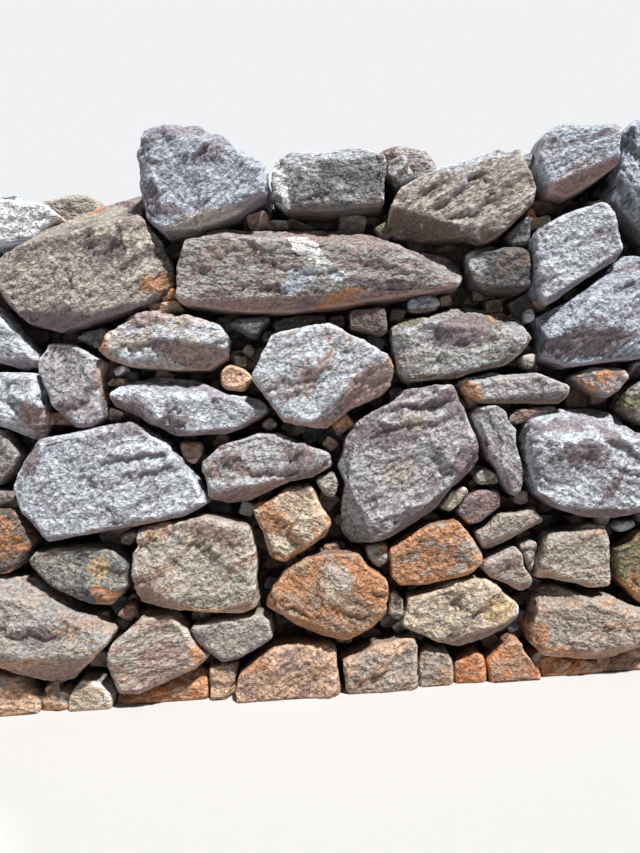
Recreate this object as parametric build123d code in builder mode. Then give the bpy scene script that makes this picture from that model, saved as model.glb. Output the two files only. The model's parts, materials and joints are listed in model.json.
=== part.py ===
from build123d import *
from dataclasses import dataclass, field
from math import atan2, cos, degrees, hypot, radians, sin, tan
import os

# A dry-laid looking rubble granite retaining wall, one bay with two built heads.
# +X runs along the wall, the battered front faces -Y, +Z is up, and the origin
# is the middle of the flat foot. All sizes are millimetres.

# Overall sizes
wall_length = 1860
crown_height = 1436  # highest crown stone, measured up the sloping front
foot_thickness = 600
batter = 5  # degrees that the front leans back, about 1 in 11

# Leaves, hearting and heads
front_leaf = 200  # from the hearting to the face line
back_leaf = 190
crown_rise = 161  # how far the highest crown stone stands above the hearting
hearting_height = crown_height - crown_rise
head_depth = 130  # stones that close the hearting at each end
head_beds = [0, 0.16, 0.29, 0.47, 0.62, 0.81, 1]  # shares of the hearting's height
bed_joint = 10

# Dressing of the stones
arris = 5  # how far the worn front edges come in
arris_fall = 52  # degrees that they fall back
dressed_side = 42  # a side shorter than this keeps its sharp edge

half_length = wall_length / 2
half_foot = foot_thickness / 2

# The face line of the front, the hearting's front and the hearting's back
face = Plane(
    origin=(0, -half_foot, 0),
    x_dir=(1, 0, 0),
    z_dir=(0, -cos(radians(batter)), sin(radians(batter))),
)
front_bed = face.offset(-front_leaf)
back_bed = Plane(
    origin=(0, half_foot - back_leaf, 0), x_dir=(-1, 0, 0), z_dir=(0, 1, 0)
)


@dataclass
class Stone:
    """One stone: its edge on the face as (along, up) from the middle of the foot,
    how far it stands proud of the face line, and its split faces as
    (bearing it looks towards, distance from its middle, fall in degrees)."""

    edge: list
    proud: float = 15
    splits: list = field(default_factory=list)


# Crown, from left to right
crown = {
    "crown_pale_left": Stone(
        [(-930, 1188), (-930, 1274), (-840, 1292), (-760, 1287), (-655, 1262),
         (-618, 1236), (-690, 1178), (-800, 1172)],
        proud=8, splits=[(90, 30, 22)]),
    "crown_boulder": Stone(
        [(-398, 1362), (-372, 1412), (-270, 1436), (-200, 1407), (-150, 1352),
         (-105, 1335), (-90, 1305), (-102, 1247), (-172, 1205), (-270, 1178),
         (-352, 1172), (-392, 1212), (-400, 1290)],
        proud=42, splits=[(-75, 98, 44), (60, 110, 20), (185, 115, 26)]),
    "crown_square": Stone(
        [(-72, 1302), (-60, 1332), (-22, 1350), (160, 1347), (208, 1325),
         (208, 1290), (194, 1208), (60, 1204), (-35, 1212), (-74, 1244)],
        proud=20, splits=[(90, 44, 30), (-85, 60, 26)]),
    "crown_long_slope": Stone(
        [(206, 1160), (218, 1202), (243, 1240), (302, 1268), (400, 1297),
         (490, 1318), (540, 1312), (556, 1270), (578, 1222), (562, 1182),
         (478, 1112), (443, 1100), (400, 1116), (290, 1120), (225, 1138)],
        proud=28, splits=[(99, 46, 26), (-100, 75, 30), (-20, 130, 22)]),
    "crown_blue": Stone(
        [(590, 1285), (603, 1325), (614, 1352), (645, 1370), (788, 1356),
         (790, 1330), (784, 1267), (700, 1219), (660, 1201), (616, 1208),
         (604, 1232)],
        proud=26, splits=[(-72, 33, 42), (100, 70, 20)]),
    "crown_right": Stone(
        [(806, 1335), (850, 1380), (930, 1370), (930, 1110), (852, 1076),
         (778, 1188), (800, 1262)],
        proud=18, splits=[(205, 30, 28), (80, 120, 24)]),
}

# Shoulder course under the crown
shoulder = {
    "shoulder_great_beige": Stone(
        [(-796, 1115), (-758, 1152), (-700, 1160), (-644, 1206), (-560, 1266),
         (-430, 1319), (-420, 1310), (-412, 1220), (-374, 1156), (-354, 1100),
         (-349, 1050), (-402, 1002), (-625, 950), (-700, 972), (-750, 1035)],
        proud=40, splits=[(-97, 150, 38), (125, 120, 14), (-30, 170, 24)]),
    "shoulder_long_bed": Stone(
        [(-328, 1012), (-322, 1085), (-298, 1146), (-215, 1172), (-120, 1164),
         (0, 1156), (100, 1159), (160, 1138), (220, 1096), (290, 1082),
         (340, 1075), (372, 1058), (386, 1022), (366, 992), (300, 982),
         (100, 966), (-50, 958), (-150, 966), (-315, 992)],
        proud=30, splits=[(-91, 76, 40), (80, 78, 26), (5, 300, 14)]),
    "shoulder_dark_square": Stone(
        [(400, 1070), (432, 1086), (465, 1085), (480, 1076), (540, 1073),
         (550, 1058), (550, 985), (528, 973), (450, 975), (410, 994),
         (402, 1030)],
        proud=6, splits=[(-95, 45, 28), (140, 55, 20)]),
    "shoulder_pale_blue": Stone(
        [(566, 1092), (585, 1118), (610, 1127), (640, 1143), (700, 1164),
         (742, 1170), (760, 1148), (770, 1100), (780, 1057), (762, 1030),
         (688, 993), (610, 946), (580, 932), (566, 968), (566, 1040)],
        proud=22, splits=[(-48, 88, 30), (95, 95, 18)]),
}

# Middle of the face
middle = {
    "left_grey_white": Stone(
        [(-930, 915), (-930, 1005), (-892, 1025), (-830, 1050), (-786, 1020),
         (-748, 958), (-694, 893), (-698, 872), (-730, 862), (-785, 885),
         (-860, 892)],
        proud=14, splits=[(-115, 70, 30), (40, 80, 14)]),
    "tall_grey": Stone(
        [(-683, 882), (-655, 918), (-600, 910), (-528, 862), (-540, 838),
         (-545, 722), (-565, 708), (-602, 708), (-650, 757), (-682, 845)],
        proud=24, splits=[(0, 52, 38), (110, 95, 20)]),
    "left_pale_green": Stone(
        [(-930, 755), (-930, 832), (-890, 838), (-795, 851), (-704, 843),
         (-691, 803), (-700, 780), (-684, 745), (-690, 692), (-708, 673),
         (-745, 698), (-800, 726), (-870, 735)],
        proud=18, splits=[(-35, 70, 34), (95, 66, 22)]),
    "great_pale_slab": Stone(
        [(-766, 562), (-752, 600), (-720, 638), (-690, 682), (-560, 694),
         (-500, 704), (-468, 704), (-388, 650), (-355, 604), (-318, 552),
         (-296, 496), (-347, 474), (-470, 457), (-600, 443), (-685, 432),
         (-710, 462), (-748, 507)],
        proud=38, splits=[(-88, 118, 46), (170, 190, 30), (72, 105, 14)]),
    "pale_bed": Stone(
        [(-510, 778), (-480, 806), (-420, 813), (-320, 805), (-246, 770),
         (-226, 758), (-182, 754), (-150, 740), (-134, 726), (-134, 711),
         (-150, 700), (-200, 676), (-240, 666), (-300, 671), (-358, 670),
         (-400, 698), (-478, 738), (-505, 758)],
        proud=22, splits=[(-125, 78, 36), (85, 60, 18), (-10, 165, 26)]),
    "cream_block": Stone(
        [(-520, 892), (-500, 932), (-440, 970), (-390, 973), (-300, 952),
         (-234, 934), (-216, 903), (-220, 855), (-267, 829), (-350, 835),
         (-460, 850), (-510, 872)],
        proud=26, splits=[(-84, 12, 20), (100, 62, 24), (-100, 62, 30)]),
    "centre_white": Stone(
        [(-156, 797), (-132, 840), (-104, 896), (-40, 906), (38, 916),
         (88, 882), (178, 832), (193, 800), (177, 752), (156, 735),
         (78, 708), (14, 662), (-86, 686), (-116, 734)],
        proud=40, splits=[(-50, 56, 32), (100, 105, 14)]),
    "mossy_ochre": Stone(
        [(206, 792), (199, 865), (199, 898), (240, 922), (290, 910),
         (350, 933), (410, 945), (515, 939), (528, 905), (524, 872),
         (536, 845), (505, 812), (472, 788), (400, 780), (345, 765),
         (224, 766)],
        proud=24, splits=[(-88, 76, 34), (190, 145, 24)]),
    "great_right": Stone(
        [(565, 799), (574, 845), (568, 900), (602, 914), (650, 932),
         (720, 979), (770, 1008), (806, 1038), (850, 1020), (930, 955),
         (930, 850), (900, 793), (800, 781), (700, 778), (620, 775)],
        proud=36, splits=[(-92, 40, 12), (-92, 108, 36), (75, 110, 16)]),
    "cream_rust": Stone(
        [(353, 748), (372, 757), (445, 767), (465, 757), (545, 758),
         (590, 735), (624, 721), (617, 702), (600, 686), (450, 696),
         (402, 700), (366, 726)],
        proud=18, splits=[(205, 84, 34), (-88, 16, 26)]),
    "great_pale_right": Stone(
        [(510, 547), (508, 600), (526, 640), (600, 660), (690, 663),
         (740, 648), (762, 614), (794, 581), (868, 567), (930, 522),
         (930, 455), (880, 418), (785, 406), (710, 393), (640, 400),
         (562, 429), (526, 460), (515, 500)],
        proud=40, splits=[(-95, 112, 38), (182, 186, 34), (100, 118, 14)]),
    "mottled_block": Stone(
        [(38, 415), (44, 470), (56, 520), (42, 562), (60, 600), (64, 630),
         (98, 670), (182, 706), (217, 736), (328, 744), (344, 718),
         (362, 672), (382, 618), (388, 557), (370, 533), (314, 496),
         (272, 444), (202, 404), (140, 378), (62, 366), (46, 384)],
        proud=30, splits=[(-42, 130, 34), (110, 160, 16), (195, 160, 24)]),
    "grey_granite": Stone(
        [(-295, 592), (-248, 634), (-150, 657), (-102, 654), (-42, 620),
         (12, 593), (19, 567), (-28, 543), (-90, 536), (-190, 496),
         (-245, 493), (-286, 512)],
        proud=26, splits=[(-15, 112, 34), (-72, 62, 36), (120, 75, 18)]),
    "ochre_block": Stone(
        [(-182, 474), (-163, 485), (-138, 484), (-92, 513), (-42, 519),
         (-32, 508), (-12, 455), (3, 425), (-9, 397), (-48, 376),
         (-92, 344), (-113, 338), (-142, 351), (-155, 382), (-164, 428)],
        proud=14, splits=[(-62, 62, 26), (165, 70, 18)]),
    "square_beige": Stone(
        [(-484, 306), (-481, 385), (-466, 402), (-462, 436), (-405, 449),
         (-295, 461), (-213, 437), (-196, 427), (-190, 408), (-184, 340),
         (-190, 290), (-187, 236), (-217, 221), (-300, 230), (-400, 243),
         (-478, 262)],
        proud=34, splits=[(-117, 88, 38), (92, 108, 16), (-82, 108, 30)]),
}

# Lower part and foot of the face
lower = {
    "lower_green_grey": Stone(
        [(-744, 380), (-724, 402), (-668, 408), (-560, 400), (-534, 390),
         (-508, 356), (-511, 303), (-548, 263), (-600, 270), (-670, 307),
         (-704, 331)],
        proud=22, splits=[(-98, 46, 34), (80, 62, 20)]),
    "lower_great_left": Stone(
        [(-930, 165), (-930, 292), (-895, 305), (-832, 340), (-752, 332),
         (-702, 290), (-636, 247), (-594, 232), (-550, 192), (-566, 167),
         (-638, 106), (-663, 77), (-702, 68), (-752, 83), (-835, 130)],
        proud=40, splits=[(-92, 48, 36), (20, 150, 18)]),
    "pink_foliated": Stone(
        [(-562, 130), (-548, 162), (-498, 198), (-469, 220), (-403, 220),
         (-368, 183), (-350, 142), (-322, 112), (-350, 92), (-450, 58),
         (-497, 40), (-541, 44), (-560, 90)],
        proud=26, splits=[(-22, 88, 40), (-78, 76, 34), (120, 80, 18)]),
    "rust_hexagon": Stone(
        [(-164, 230), (-149, 261), (-114, 302), (-58, 335), (-4, 344),
         (74, 343), (94, 308), (135, 274), (137, 252), (129, 203),
         (96, 170), (33, 137), (-28, 144), (-90, 178), (-120, 210)],
        proud=34, splits=[(-85, 84, 32), (100, 20, 12), (170, 120, 26)]),
    "yellow_cream": Stone(
        [(190, 200), (192, 220), (240, 231), (300, 252), (326, 256),
         (383, 256), (428, 218), (459, 188), (451, 160), (424, 138),
         (368, 112), (310, 98), (257, 114), (172, 160)],
        proud=20, splits=[(-73, 48, 38), (95, 66, 18)]),
    "pinkish_square": Stone(
        [(516, 252), (524, 290), (537, 333), (552, 358), (610, 360),
         (650, 372), (688, 367), (692, 348), (692, 290), (694, 242),
         (681, 226), (640, 222), (600, 238), (545, 252)],
        proud=26, splits=[(-95, 66, 34), (85, 66, 16)]),
    "lower_great_right": Stone(
        [(486, 130), (500, 160), (514, 196), (536, 218), (570, 217),
         (638, 189), (688, 193), (730, 166), (786, 140),
         (826, 108), (804, 76), (750, 71), (690, 40), (650, 36),
         (570, 56), (514, 66), (490, 92)],
        proud=32, splits=[(-98, 66, 36), (198, 150, 34), (85, 78, 20)]),
}

# Smaller stones, which share a node by the part of the wall that they fill
small_crown = {
    "green_wedge": Stone([(218, 1318), (256, 1336), (264, 1332), (279, 1286),
                          (262, 1276), (238, 1268), (219, 1290)], proud=-15),
    "dark_wedge": Stone([(508, 1112), (556, 1152), (568, 1152), (556, 1092),
                         (530, 1086), (514, 1092)], proud=-10),
    "left_fill": Stone([(-930, 1076), (-930, 1162), (-850, 1162), (-806, 1122),
                        (-808, 1072)], proud=0),
    "right_fill": Stone([(866, 1024), (862, 1062), (930, 1092), (930, 976)],
                        proud=0),
}
small_left = {
    "left_edge_grey": Stone([(-930, 650), (-930, 715), (-870, 718), (-800, 708),
                             (-762, 648), (-776, 612), (-816, 576), (-880, 588),
                             (-930, 610)], proud=10, splits=[(-60, 60, 28)]),
    "rust_edge": Stone([(-930, 395), (-930, 480), (-895, 490), (-820, 510),
                        (-774, 500), (-756, 475), (-752, 445), (-739, 425),
                        (-762, 386), (-800, 360), (-870, 356)],
                       proud=16, splits=[(-95, 58, 30), (90, 60, 24)]),
    "dark_pebble": Stone([(-590, 928), (-576, 938), (-525, 948), (-519, 938),
                          (-534, 908), (-545, 903), (-570, 918)], proud=-8),
    "small_wedge": Stone([(-522, 412), (-503, 428), (-484, 432), (-482, 424),
                          (-500, 404)], proud=-10),
    "low_wedge": Stone([(-538, 226), (-506, 254), (-496, 226), (-514, 214)],
                       proud=-12),
    "left_edge_lump": Stone([(-930, 500), (-930, 588), (-880, 576), (-820, 560),
                             (-784, 548), (-772, 520), (-820, 520), (-895, 500)],
                            proud=-5),
}
small_middle = {
    "brick_orange_bat": Stone([(-237, 810), (-230, 824), (-213, 830), (-182, 819),
                               (-169, 806), (-168, 795), (-188, 772), (-228, 778),
                               (-236, 790)], proud=0),
    "blue_wedge": Stone([(-203, 936), (-188, 946), (-165, 944), (-120, 948),
                         (-108, 944), (-130, 925), (-147, 902), (-160, 906),
                         (-188, 926)], proud=4),
    "thin_wedge": Stone([(-92, 918), (-96, 936), (-40, 946), (30, 944),
                         (30, 928), (-40, 918)], proud=-12),
    "red_block": Stone([(97, 944), (105, 948), (178, 950), (180, 912),
                        (178, 889), (164, 886), (130, 896), (96, 906)], proud=6),
    "grey_square": Stone([(246, 944), (250, 966), (298, 970), (312, 962),
                          (314, 948), (306, 940), (258, 938)], proud=0),
    "cream_core": Stone([(-16, 530), (6, 540), (26, 543), (34, 524),
                         (28, 500), (18, 486), (2, 494)], proud=-6),
    "red_wedge": Stone([(-352, 648), (-306, 640), (-305, 617), (-322, 596),
                        (-340, 606)], proud=-4),
    "purple_mix": Stone([(333, 426), (352, 455), (383, 474), (426, 474),
                         (438, 458), (432, 434), (384, 401), (357, 398)],
                        proud=4),
    "green_cream": Stone([(292, 440), (322, 476), (352, 486), (360, 476),
                          (336, 448), (313, 432)], proud=-6),
    "joint_cube": Stone([(477, 444), (493, 464), (506, 464), (508, 438),
                         (490, 437)], proud=-6),
    "brown_grey": Stone([(386, 508), (391, 520), (408, 530), (426, 516),
                         (438, 500), (430, 494), (390, 496)], proud=-4),
}
small_right = {
    "orange_mottled": Stone([(642, 745), (660, 750), (690, 762), (758, 755),
                             (770, 750), (776, 735), (748, 706), (720, 690),
                             (704, 696), (656, 729)], proud=10),
    "mossy_yellow": Stone([(760, 662), (774, 691), (806, 718), (870, 728),
                           (930, 695), (930, 640), (880, 608), (808, 616),
                           (770, 645)], proud=14, splits=[(-90, 42, 30)]),
    "right_edge_fill": Stone([(795, 735), (806, 770), (900, 782), (930, 800),
                              (930, 712), (872, 738)], proud=0),
    "right_low_fill": Stone([(886, 572), (884, 598), (930, 626), (930, 538)],
                            proud=0),
    "red_brown_wedge": Stone([(478, 658), (502, 672), (588, 672), (592, 668),
                              (576, 662), (540, 652), (492, 638), (475, 642)],
                             proud=2),
    "leaning_purple": Stone([(382, 668), (394, 683), (438, 685), (458, 670),
                             (463, 645), (481, 622), (477, 590), (487, 550),
                             (494, 515), (482, 470), (474, 463), (466, 466),
                             (452, 490), (438, 530), (418, 560), (408, 590),
                             (397, 625)],
                            proud=18, splits=[(-8, 40, 32), (176, 40, 30)]),
    "beige_chip": Stone([(519, 801), (532, 806), (552, 808), (549, 790),
                         (542, 777), (528, 778)], proud=-6),
    "tall_chip": Stone([(540, 895), (541, 913), (547, 924), (555, 913),
                        (554, 898)], proud=-8),
}
small_lower = {
    "purple_patched": Stone([(-352, 188), (-300, 196), (-182, 206), (-162, 190),
                             (-157, 152), (-188, 131), (-240, 105), (-282, 97),
                             (-336, 148)], proud=16, splits=[(-95, 40, 26)]),
    "rust_grey": Stone([(154, 343), (203, 371), (261, 400), (325, 402),
                        (338, 378), (354, 358), (374, 318), (370, 297),
                        (342, 279), (235, 257), (172, 261), (154, 282),
                        (155, 315)],
                       proud=20, splits=[(-84, 58, 30), (96, 58, 20)]),
    "wedge_left": Stone([(98, 352), (134, 358), (143, 352), (140, 318),
                         (122, 306), (108, 325)], proud=-2),
    "wedge_low": Stone([(151, 240), (174, 216), (172, 178), (160, 170),
                        (144, 186), (147, 215)], proud=0),
    "slanted_slab": Stone([(374, 370), (402, 383), (436, 413), (476, 411),
                           (514, 421), (522, 404), (542, 392), (496, 377),
                           (448, 350), (410, 332), (390, 333), (380, 355)],
                          proud=14, splits=[(-62, 34, 30)]),
    "warm_pentagon": Stone([(384, 290), (408, 307), (464, 328), (474, 312),
                            (479, 280), (498, 246), (491, 232), (471, 224),
                            (443, 243), (400, 264)],
                           proud=12, splits=[(-75, 40, 26)]),
    "pale_upright": Stone([(484, 330), (508, 340), (517, 333), (507, 292),
                           (502, 268), (494, 300)], proud=4),
    "mossy_edge": Stone([(714, 308), (748, 318), (779, 345), (840, 354),
                         (930, 320), (930, 240), (858, 197), (777, 166),
                         (752, 194), (716, 240)],
                        proud=18, splits=[(-110, 80, 30), (70, 78, 22)]),
    "white_chip": Stone([(724, 361), (734, 370), (772, 367), (766, 360),
                         (736, 350)], proud=-6),
    "right_edge_pale": Stone([(800, 394), (880, 408), (930, 440), (930, 340),
                              (852, 362), (796, 368)], proud=2),
}
foot = {
    "foot_cream": Stone([(-930, -20), (-930, 88), (-845, 98), (-802, 88),
                         (-772, 52), (-750, 30), (-755, -20)],
                        proud=8, splits=[(92, 46, 28)]),
    "foot_rubble_left": Stone([(-742, -20), (-740, 26), (-722, 46), (-690, 44),
                               (-682, 20), (-690, -20)], proud=-6),
    "foot_whitish": Stone([(-674, -20), (-668, 38), (-634, 74), (-610, 68),
                           (-584, 50), (-570, 28), (-572, -20)], proud=10),
    "foot_rubble_pink": Stone([(-560, -20), (-556, 24), (-500, 30), (-440, 44),
                               (-360, 72), (-330, 60), (-330, -20)], proud=-6),
    "foot_wedge_left": Stone([(-318, -20), (-316, 78), (-284, 84), (-250, 82),
                              (-264, 40), (-268, -20)], proud=0),
    "foot_brown": Stone([(-255, -20), (-242, 58), (-200, 90), (-150, 122),
                         (-97, 127), (-20, 116), (-4, 104), (-5, -20)],
                        proud=24, splits=[(80, 40, 24)]),
    "foot_warm": Stone([(30, -20), (20, 76), (40, 84), (100, 106), (160, 120),
                        (194, 122), (202, 100), (196, 50), (192, -20)],
                       proud=20, splits=[(98, 44, 26)]),
    "foot_step": Stone([(206, -20), (208, 55), (218, 86), (234, 90),
                        (275, 80), (286, 60), (284, -20)], proud=6),
    "foot_red_clay": Stone([(296, -20), (300, 45), (330, 64), (348, 74),
                            (364, 58), (370, -20)], proud=2),
    "foot_red_brown": Stone([(382, -20), (380, 50), (418, 82), (448, 96),
                             (462, 88), (464, 70), (480, 48), (500, 20),
                             (504, -20)], proud=12, splits=[(120, 36, 26)]),
    "foot_rubble_right": Stone([(516, -20), (514, 50), (570, 42), (640, 20),
                                (660, 24), (664, -20)], proud=-2),
    "foot_low_right": Stone([(676, -20), (676, 24), (700, 30), (752, 60),
                             (806, 64), (838, 88), (842, -20)], proud=-4),
    "foot_end_right": Stone([(854, -20), (852, 118), (872, 176), (930, 196),
                             (930, -20)], proud=10, splits=[(95, 80, 26)]),
}


# The stones above reach this far, and the whole face is stretched or shrunk from it
# to the wall's own length and height.
every_stone = [
    stone
    for group in (crown, shoulder, middle, lower, small_crown, small_left,
                  small_middle, small_right, small_lower, foot)
    for stone in group.values()
]
drawn_length = 2 * max(x for stone in every_stone for x, _ in stone.edge)
drawn_height = max(y for stone in every_stone for _, y in stone.edge)
along = wall_length / drawn_length
upward = crown_height / drawn_height


def scaled(stone):
    """The stone's edge at the wall's own length and height."""
    return [(along * x, upward * y) for x, y in stone.edge]


def middle_of(edge):
    """The middle of the box round an edge."""
    across = [x for x, _ in edge]
    up = [y for _, y in edge]
    return (min(across) + max(across)) / 2, (min(up) + max(up)) / 2


def slope_at(bed, x, y, out, bearing, fall):
    """A plane through a point over a stone's bed that falls away to a bearing."""
    turned = Location((x, y, out), (0, 0, bearing))
    return Plane(bed.location * turned * Location((0, 0, 0), (0, fall, 0)))


def bearing_of(start, end):
    """The bearing, out of the stone, of one side of its clockwise edge."""
    return degrees(atan2(end[0] - start[0], start[1] - end[1]))


def front_stone(stone):
    """A face stone: its edge run out from the hearting, then dressed by planes."""
    edge = scaled(stone)
    out = front_leaf + stone.proud
    with BuildPart() as block:
        with BuildSketch(front_bed):
            with BuildLine():
                Polyline(*edge, close=True)
            make_face()
        extrude(amount=out)
        for count, (start, end) in enumerate(zip(edge, edge[1:] + edge[:1])):
            if hypot(end[0] - start[0], end[1] - start[1]) < dressed_side:
                continue
            wear = arris * (0.7 + 0.3 * (count * 5 % 4))
            bearing = bearing_of(start, end)
            x = start[0] - wear * cos(radians(bearing))
            y = start[1] - wear * sin(radians(bearing))
            split(
                bisect_by=slope_at(front_bed, x, y, out, bearing, arris_fall),
                keep=Keep.BOTTOM,
            )
        middle = middle_of(edge)
        for bearing, reach, fall in stone.splits:
            x = middle[0] + reach * along * cos(radians(bearing))
            y = middle[1] + reach * upward * sin(radians(bearing))
            split(
                bisect_by=slope_at(front_bed, x, y, out, bearing, fall),
                keep=Keep.BOTTOM,
            )
        split(bisect_by=Plane.XY, keep=Keep.TOP)
    return block.part


def back_stone(stone):
    """A stone of the back leaf, laid to the same drawing and left plainer."""
    edge = scaled(stone)
    with BuildPart() as block:
        with BuildSketch(back_bed):
            with BuildLine():
                Polyline(*edge, close=True)
            make_face()
        extrude(amount=back_leaf)
        split(bisect_by=Plane.XY, keep=Keep.TOP)
    return block.part


# The hearting's section: its front lies on the batter, its back is upright
head_top = hearting_height * cos(radians(batter))
with BuildSketch(Plane.YZ) as hearting_section:
    with BuildLine():
        front_line = front_leaf / cos(radians(batter)) - half_foot
        back_line = half_foot - back_leaf
        Polyline(
            (front_line, 0),
            (front_line + head_top * tan(radians(batter)), head_top),
            (back_line, head_top),
            (back_line, 0),
            close=True,
        )
    make_face()


def head_stone(side, low, high):
    """One stone that closes a head between the leaves, on side 1 or -1."""
    with BuildPart() as block:
        with BuildSketch(Plane.YZ.offset(side * (half_length - head_depth))):
            add(hearting_section.sketch_local)
        extrude(amount=side * head_depth)
        split(bisect_by=Plane.XY.offset(low), keep=Keep.TOP)
        split(bisect_by=Plane.XY.offset(high), keep=Keep.BOTTOM)
        outer = block.faces().filter_by(Axis.X).sort_by(Axis.X)[0 if side < 0 else -1]
        chamfer(outer.edges(), length=arris)
    return block.part


os.makedirs("parts", exist_ok=True)

# Hearting: rubble and mortar packed between the leaves, its front on the batter
with BuildPart() as hearting:
    with BuildSketch(Plane.YZ.offset(head_depth - half_length)):
        add(hearting_section.sketch_local)
    extrude(amount=wall_length - 2 * head_depth)
hearting.part.label = "hearting"
export_step(hearting.part, "parts/hearting.step")

# Each large face stone is a piece of its own
for name, stone in {**crown, **shoulder, **middle, **lower}.items():
    block = front_stone(stone)
    block.label = name
    export_step(block, f"parts/{name}.step")

# Small face stones lie apart from each other, by the part of the wall they fill
small_groups = {
    "small_stones_crown": small_crown,
    "small_stones_left": small_left,
    "small_stones_middle": small_middle,
    "small_stones_right": small_right,
    "small_stones_lower": small_lower,
    "foot_stones": foot,
}
for name, stones in small_groups.items():
    with BuildPart() as group:
        for stone in stones.values():
            add(front_stone(stone))
    group.part.label = name
    export_step(group.part, f"parts/{name}.step")

# Back leaf, by height
back_courses = {
    "back_foot": foot,
    "back_lower": {**lower, **small_lower},
    "back_middle": {**middle, **small_left, **small_middle, **small_right},
    "back_shoulder": shoulder,
    "back_crown": {**crown, **small_crown},
}
for name, stones in back_courses.items():
    with BuildPart() as course:
        for stone in stones.values():
            add(back_stone(stone))
    course.part.label = name
    export_step(course.part, f"parts/{name}.step")

# Heads: stacked stones that tie the two leaves at each end
for name, side in {"head_left": -1, "head_right": 1}.items():
    with BuildPart() as stack:
        for low, high in zip(head_beds, head_beds[1:]):
            add(head_stone(side, low * head_top, high * head_top - bed_joint))
    stack.part.label = name
    export_step(stack.part, f"parts/{name}.step")
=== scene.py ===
# %% [markdown]
# # A rubble granite retaining wall
#
# The wall is a real thing of heavy, split stones. Each large stone comes from the
# frame as a plain dressed block, exactly where the mason laid it. This lesson turns
# those blocks into rough granite, packs the joints, pins them with small stones, and
# gives every face the crust, stains and grain that weathered granite has. Noise by vector
# starts from the clock unless it has a seed, so it gets one, and the wall comes out the same.

# %% The frame and the tools
import json
import math
import random

import bmesh
import bpy
import numpy as np
from mathutils import Matrix, Vector, noise
from mathutils.bvhtree import BVHTree


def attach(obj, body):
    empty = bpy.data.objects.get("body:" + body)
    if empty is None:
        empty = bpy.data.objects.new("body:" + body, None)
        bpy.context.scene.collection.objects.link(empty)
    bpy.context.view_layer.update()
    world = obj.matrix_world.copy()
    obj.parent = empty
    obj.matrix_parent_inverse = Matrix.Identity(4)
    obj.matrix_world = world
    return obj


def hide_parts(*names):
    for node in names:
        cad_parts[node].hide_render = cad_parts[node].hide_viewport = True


NOISE_SEED = 11
noise.seed_set(NOISE_SEED)
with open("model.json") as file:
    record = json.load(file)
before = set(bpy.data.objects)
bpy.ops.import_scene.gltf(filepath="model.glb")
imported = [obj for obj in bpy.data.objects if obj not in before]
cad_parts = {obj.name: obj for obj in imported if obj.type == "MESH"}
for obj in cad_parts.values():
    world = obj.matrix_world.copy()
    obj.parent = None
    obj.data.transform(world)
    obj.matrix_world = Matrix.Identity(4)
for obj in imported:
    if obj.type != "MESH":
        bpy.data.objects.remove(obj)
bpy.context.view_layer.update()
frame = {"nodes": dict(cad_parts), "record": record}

# %% [markdown]
# ## Where things are on the sloping front
#
# The front leans back by a few degrees, which masons call its batter. Nearly everything
# here is placed by how far along the wall it is, how far up the slope, and how far out of
# the face. One helper turns those three into a point of the wall, and another goes back.
# Two matrices do the same for a whole mesh.

# %% The face line
BATTER = math.radians(5)
FACE_FOOT = Vector((0, -0.300, 0))
ALONG = Vector((1, 0, 0))
UP = Vector((0, math.sin(BATTER), math.cos(BATTER)))
OUT = Vector((0, -math.cos(BATTER), math.sin(BATTER)))
FACE_TURN = Matrix((ALONG, UP, OUT)).transposed()
TO_WALL = Matrix.Translation(FACE_FOOT) @ FACE_TURN.to_4x4()
TO_FACE = FACE_TURN.to_4x4().inverted() @ Matrix.Translation(-FACE_FOOT)


def on_face(along, up, out=0.0):
    """The point of the wall at a place on its front, all in metres."""
    return FACE_FOOT + ALONG * along + UP * up + OUT * out


def face_place(points):
    """Places along, up and out of the front for an array of points."""
    return (points - np.array(FACE_FOOT)) @ np.array(FACE_TURN)


print("face leans", round(math.degrees(BATTER), 1), "degrees")

# %% [markdown]
# ## Camera
#
# The picture looks straight at the face, so the camera's axis is square to the slope,
# and it is rolled a little, which lets the foot of the wall rise to the right. Placing it
# first means that every later choice can be judged from the real viewpoint.

# %% The camera
IMAGE_WIDTH = 640
METRES_PER_PIXEL = 0.0025
CAMERA_DISTANCE = 1.64
VIEW_HEIGHT = 0.665
ROLL = math.radians(4)
SENSOR = 36.0

lens_data = bpy.data.cameras.new("view")
lens_data.sensor_fit = "HORIZONTAL"
lens_data.sensor_width = SENSOR
lens_data.lens = SENSOR * CAMERA_DISTANCE / (IMAGE_WIDTH * METRES_PER_PIXEL)
camera = bpy.data.objects.new("view", lens_data)
turn = FACE_TURN.to_4x4() @ Matrix.Rotation(-ROLL, 4, "Z")
camera.matrix_world = Matrix.Translation(on_face(0, VIEW_HEIGHT, CAMERA_DISTANCE)) @ turn
bpy.context.scene.collection.objects.link(camera)
bpy.context.scene.camera = camera
print("lens", round(lens_data.lens, 1), "mm")

# %% [markdown]
# ## Tones of the stone
#
# Weathered granite isn't one colour. A pale crust covers the faces that have seen the
# sun, fresh splits are purple-brown, iron bleeds out as rust, and damp edges turn ochre
# and green. Naming the tones once keeps the whole wall in one family.

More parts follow.
